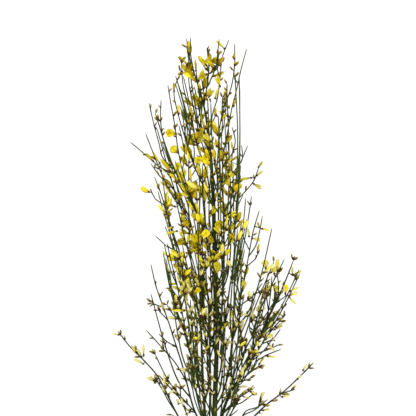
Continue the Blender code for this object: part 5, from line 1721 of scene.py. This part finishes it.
def finishPiece(piece, node):
    # nothing goes below the floor, and the piece takes its node's place
    mesh = piece.data
    places = np.empty(len(mesh.vertices) * 3, np.float32)
    mesh.vertices.foreach_get("co", places)
    places[2::3] = np.maximum(places[2::3], 0.0)
    mesh.vertices.foreach_set("co", places)
    mesh.update()
    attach(piece, "root")
    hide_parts(node)


branch = growBranch()
for name, *twig in lowTwigs:
    placeTwigs(branch, name, [twig])
for name in branch.mains:
    extraTwigs(branch, name)
for name in branch.mains:
    extraClusters(branch, name)
print("branch grown:", {name: len(pieces) for name, pieces in branch.pieces.items()})

kinds = makeKinds()
patchTree = patchGroup()
finishes = {
    "stemBark": barkMaterial("stemBark", 0.8), "shootBark": barkMaterial("shootBark", 0.3),
    "petals": petalMaterial("dryPetals"), "buds": budMaterial("budPetals"), "cups": cupMaterial("calyx"),
    "cut": cutMaterial("cutWood"),
}
twigTree = ribbedTwigTree()
setTree = settingTree()
dressing = random.Random(dressingSeed)
for name, pieces in branch.pieces.items():
    shoot = dressShoot(name, pieces, dressing)
    if name == "woody_stem":
        markCutEnd(shoot)
    finishPiece(shoot, name)
print("shoots dressed:", len(branch.pieces))

for number, (form, width, start, end) in enumerate(branch.blooms, 1):
    node = f"bloom_{number:02d}"
    mesh = setOn("blooms", [flowerSpot(start, end, form, width, dressing)], f"{node}_petals")
    finishPiece(linkObject(mesh.name, mesh), node)
print("blooms dressed:", len(branch.blooms))

for collection in kinds.values():
    for kind in list(collection.objects):
        bpy.data.objects.remove(kind)


# Floor, lights and camera. The camera looks straight down, and its frame is 520 mm wide at the height of
# the crown. The floor glows like a light table, so that the ground comes out white
stageLook = {
    "floor": (0.12, 0.12, 0.12, 1), "glow": 0.94, "white": (1, 1, 1, 1), "world": 0.78, "lamp": 64.0,
    "lamps": {"keyLight": ((-1.2, 1.6, 2.4), 1.6, 1.0), "fillLight": ((1.5, -0.4, 2.0), 1.8, 0.45)},
    "aim": (0, 0.44, 0.03), "lens": 400, "viewWide": 0.52, "viewMiddle": (0.0, 0.44), "crownHeight": 0.05,
}


def makeFloor():
    mesh = bpy.data.meshes.new("floor")
    shape = bmesh.new()
    bmesh.ops.create_grid(shape, x_segments=1, y_segments=1, size=4)
    shape.to_mesh(mesh)
    shape.free()
    mesh.transform(Matrix.Translation((*stageLook["viewMiddle"], -0.0002)))
    floor = linkObject("floor", mesh)
    finish, tree, shader = newMaterial("paleFloor", 0.9)
    shader.inputs["Base Color"].default_value = stageLook["floor"]
    shader.inputs["Emission Color"].default_value = stageLook["white"]
    shader.inputs["Emission Strength"].default_value = stageLook["glow"]
    mesh.materials.append(finish)


def makeLights():
    world = bpy.data.worlds.new("studio")
    bpy.context.scene.world = world
    world.use_nodes = True
    world.node_tree.nodes["Background"].inputs["Color"].default_value = stageLook["white"]
    world.node_tree.nodes["Background"].inputs["Strength"].default_value = stageLook["world"]
    for label, (place, size, share) in stageLook["lamps"].items():
        data = bpy.data.lights.new(label, "AREA")
        data.energy = stageLook["lamp"] * share
        data.size = size
        lamp = linkObject(label, data)
        lamp.location = place
        aim = Vector(stageLook["aim"]) - Vector(place)
        lamp.rotation_euler = aim.to_track_quat("-Z", "Y").to_euler()


def makeCamera():
    data = bpy.data.cameras.new("camera")
    data.lens = stageLook["lens"]
    data.clip_end = 50
    camera = linkObject("camera", data)
    away = stageLook["viewWide"] * data.lens / data.sensor_width
    camera.location = (*stageLook["viewMiddle"], stageLook["crownHeight"] + away)
    bpy.context.scene.camera = camera


makeFloor()
makeLights()
makeCamera()
bpy.context.scene.view_settings.view_transform = "Standard"
print("stage set")
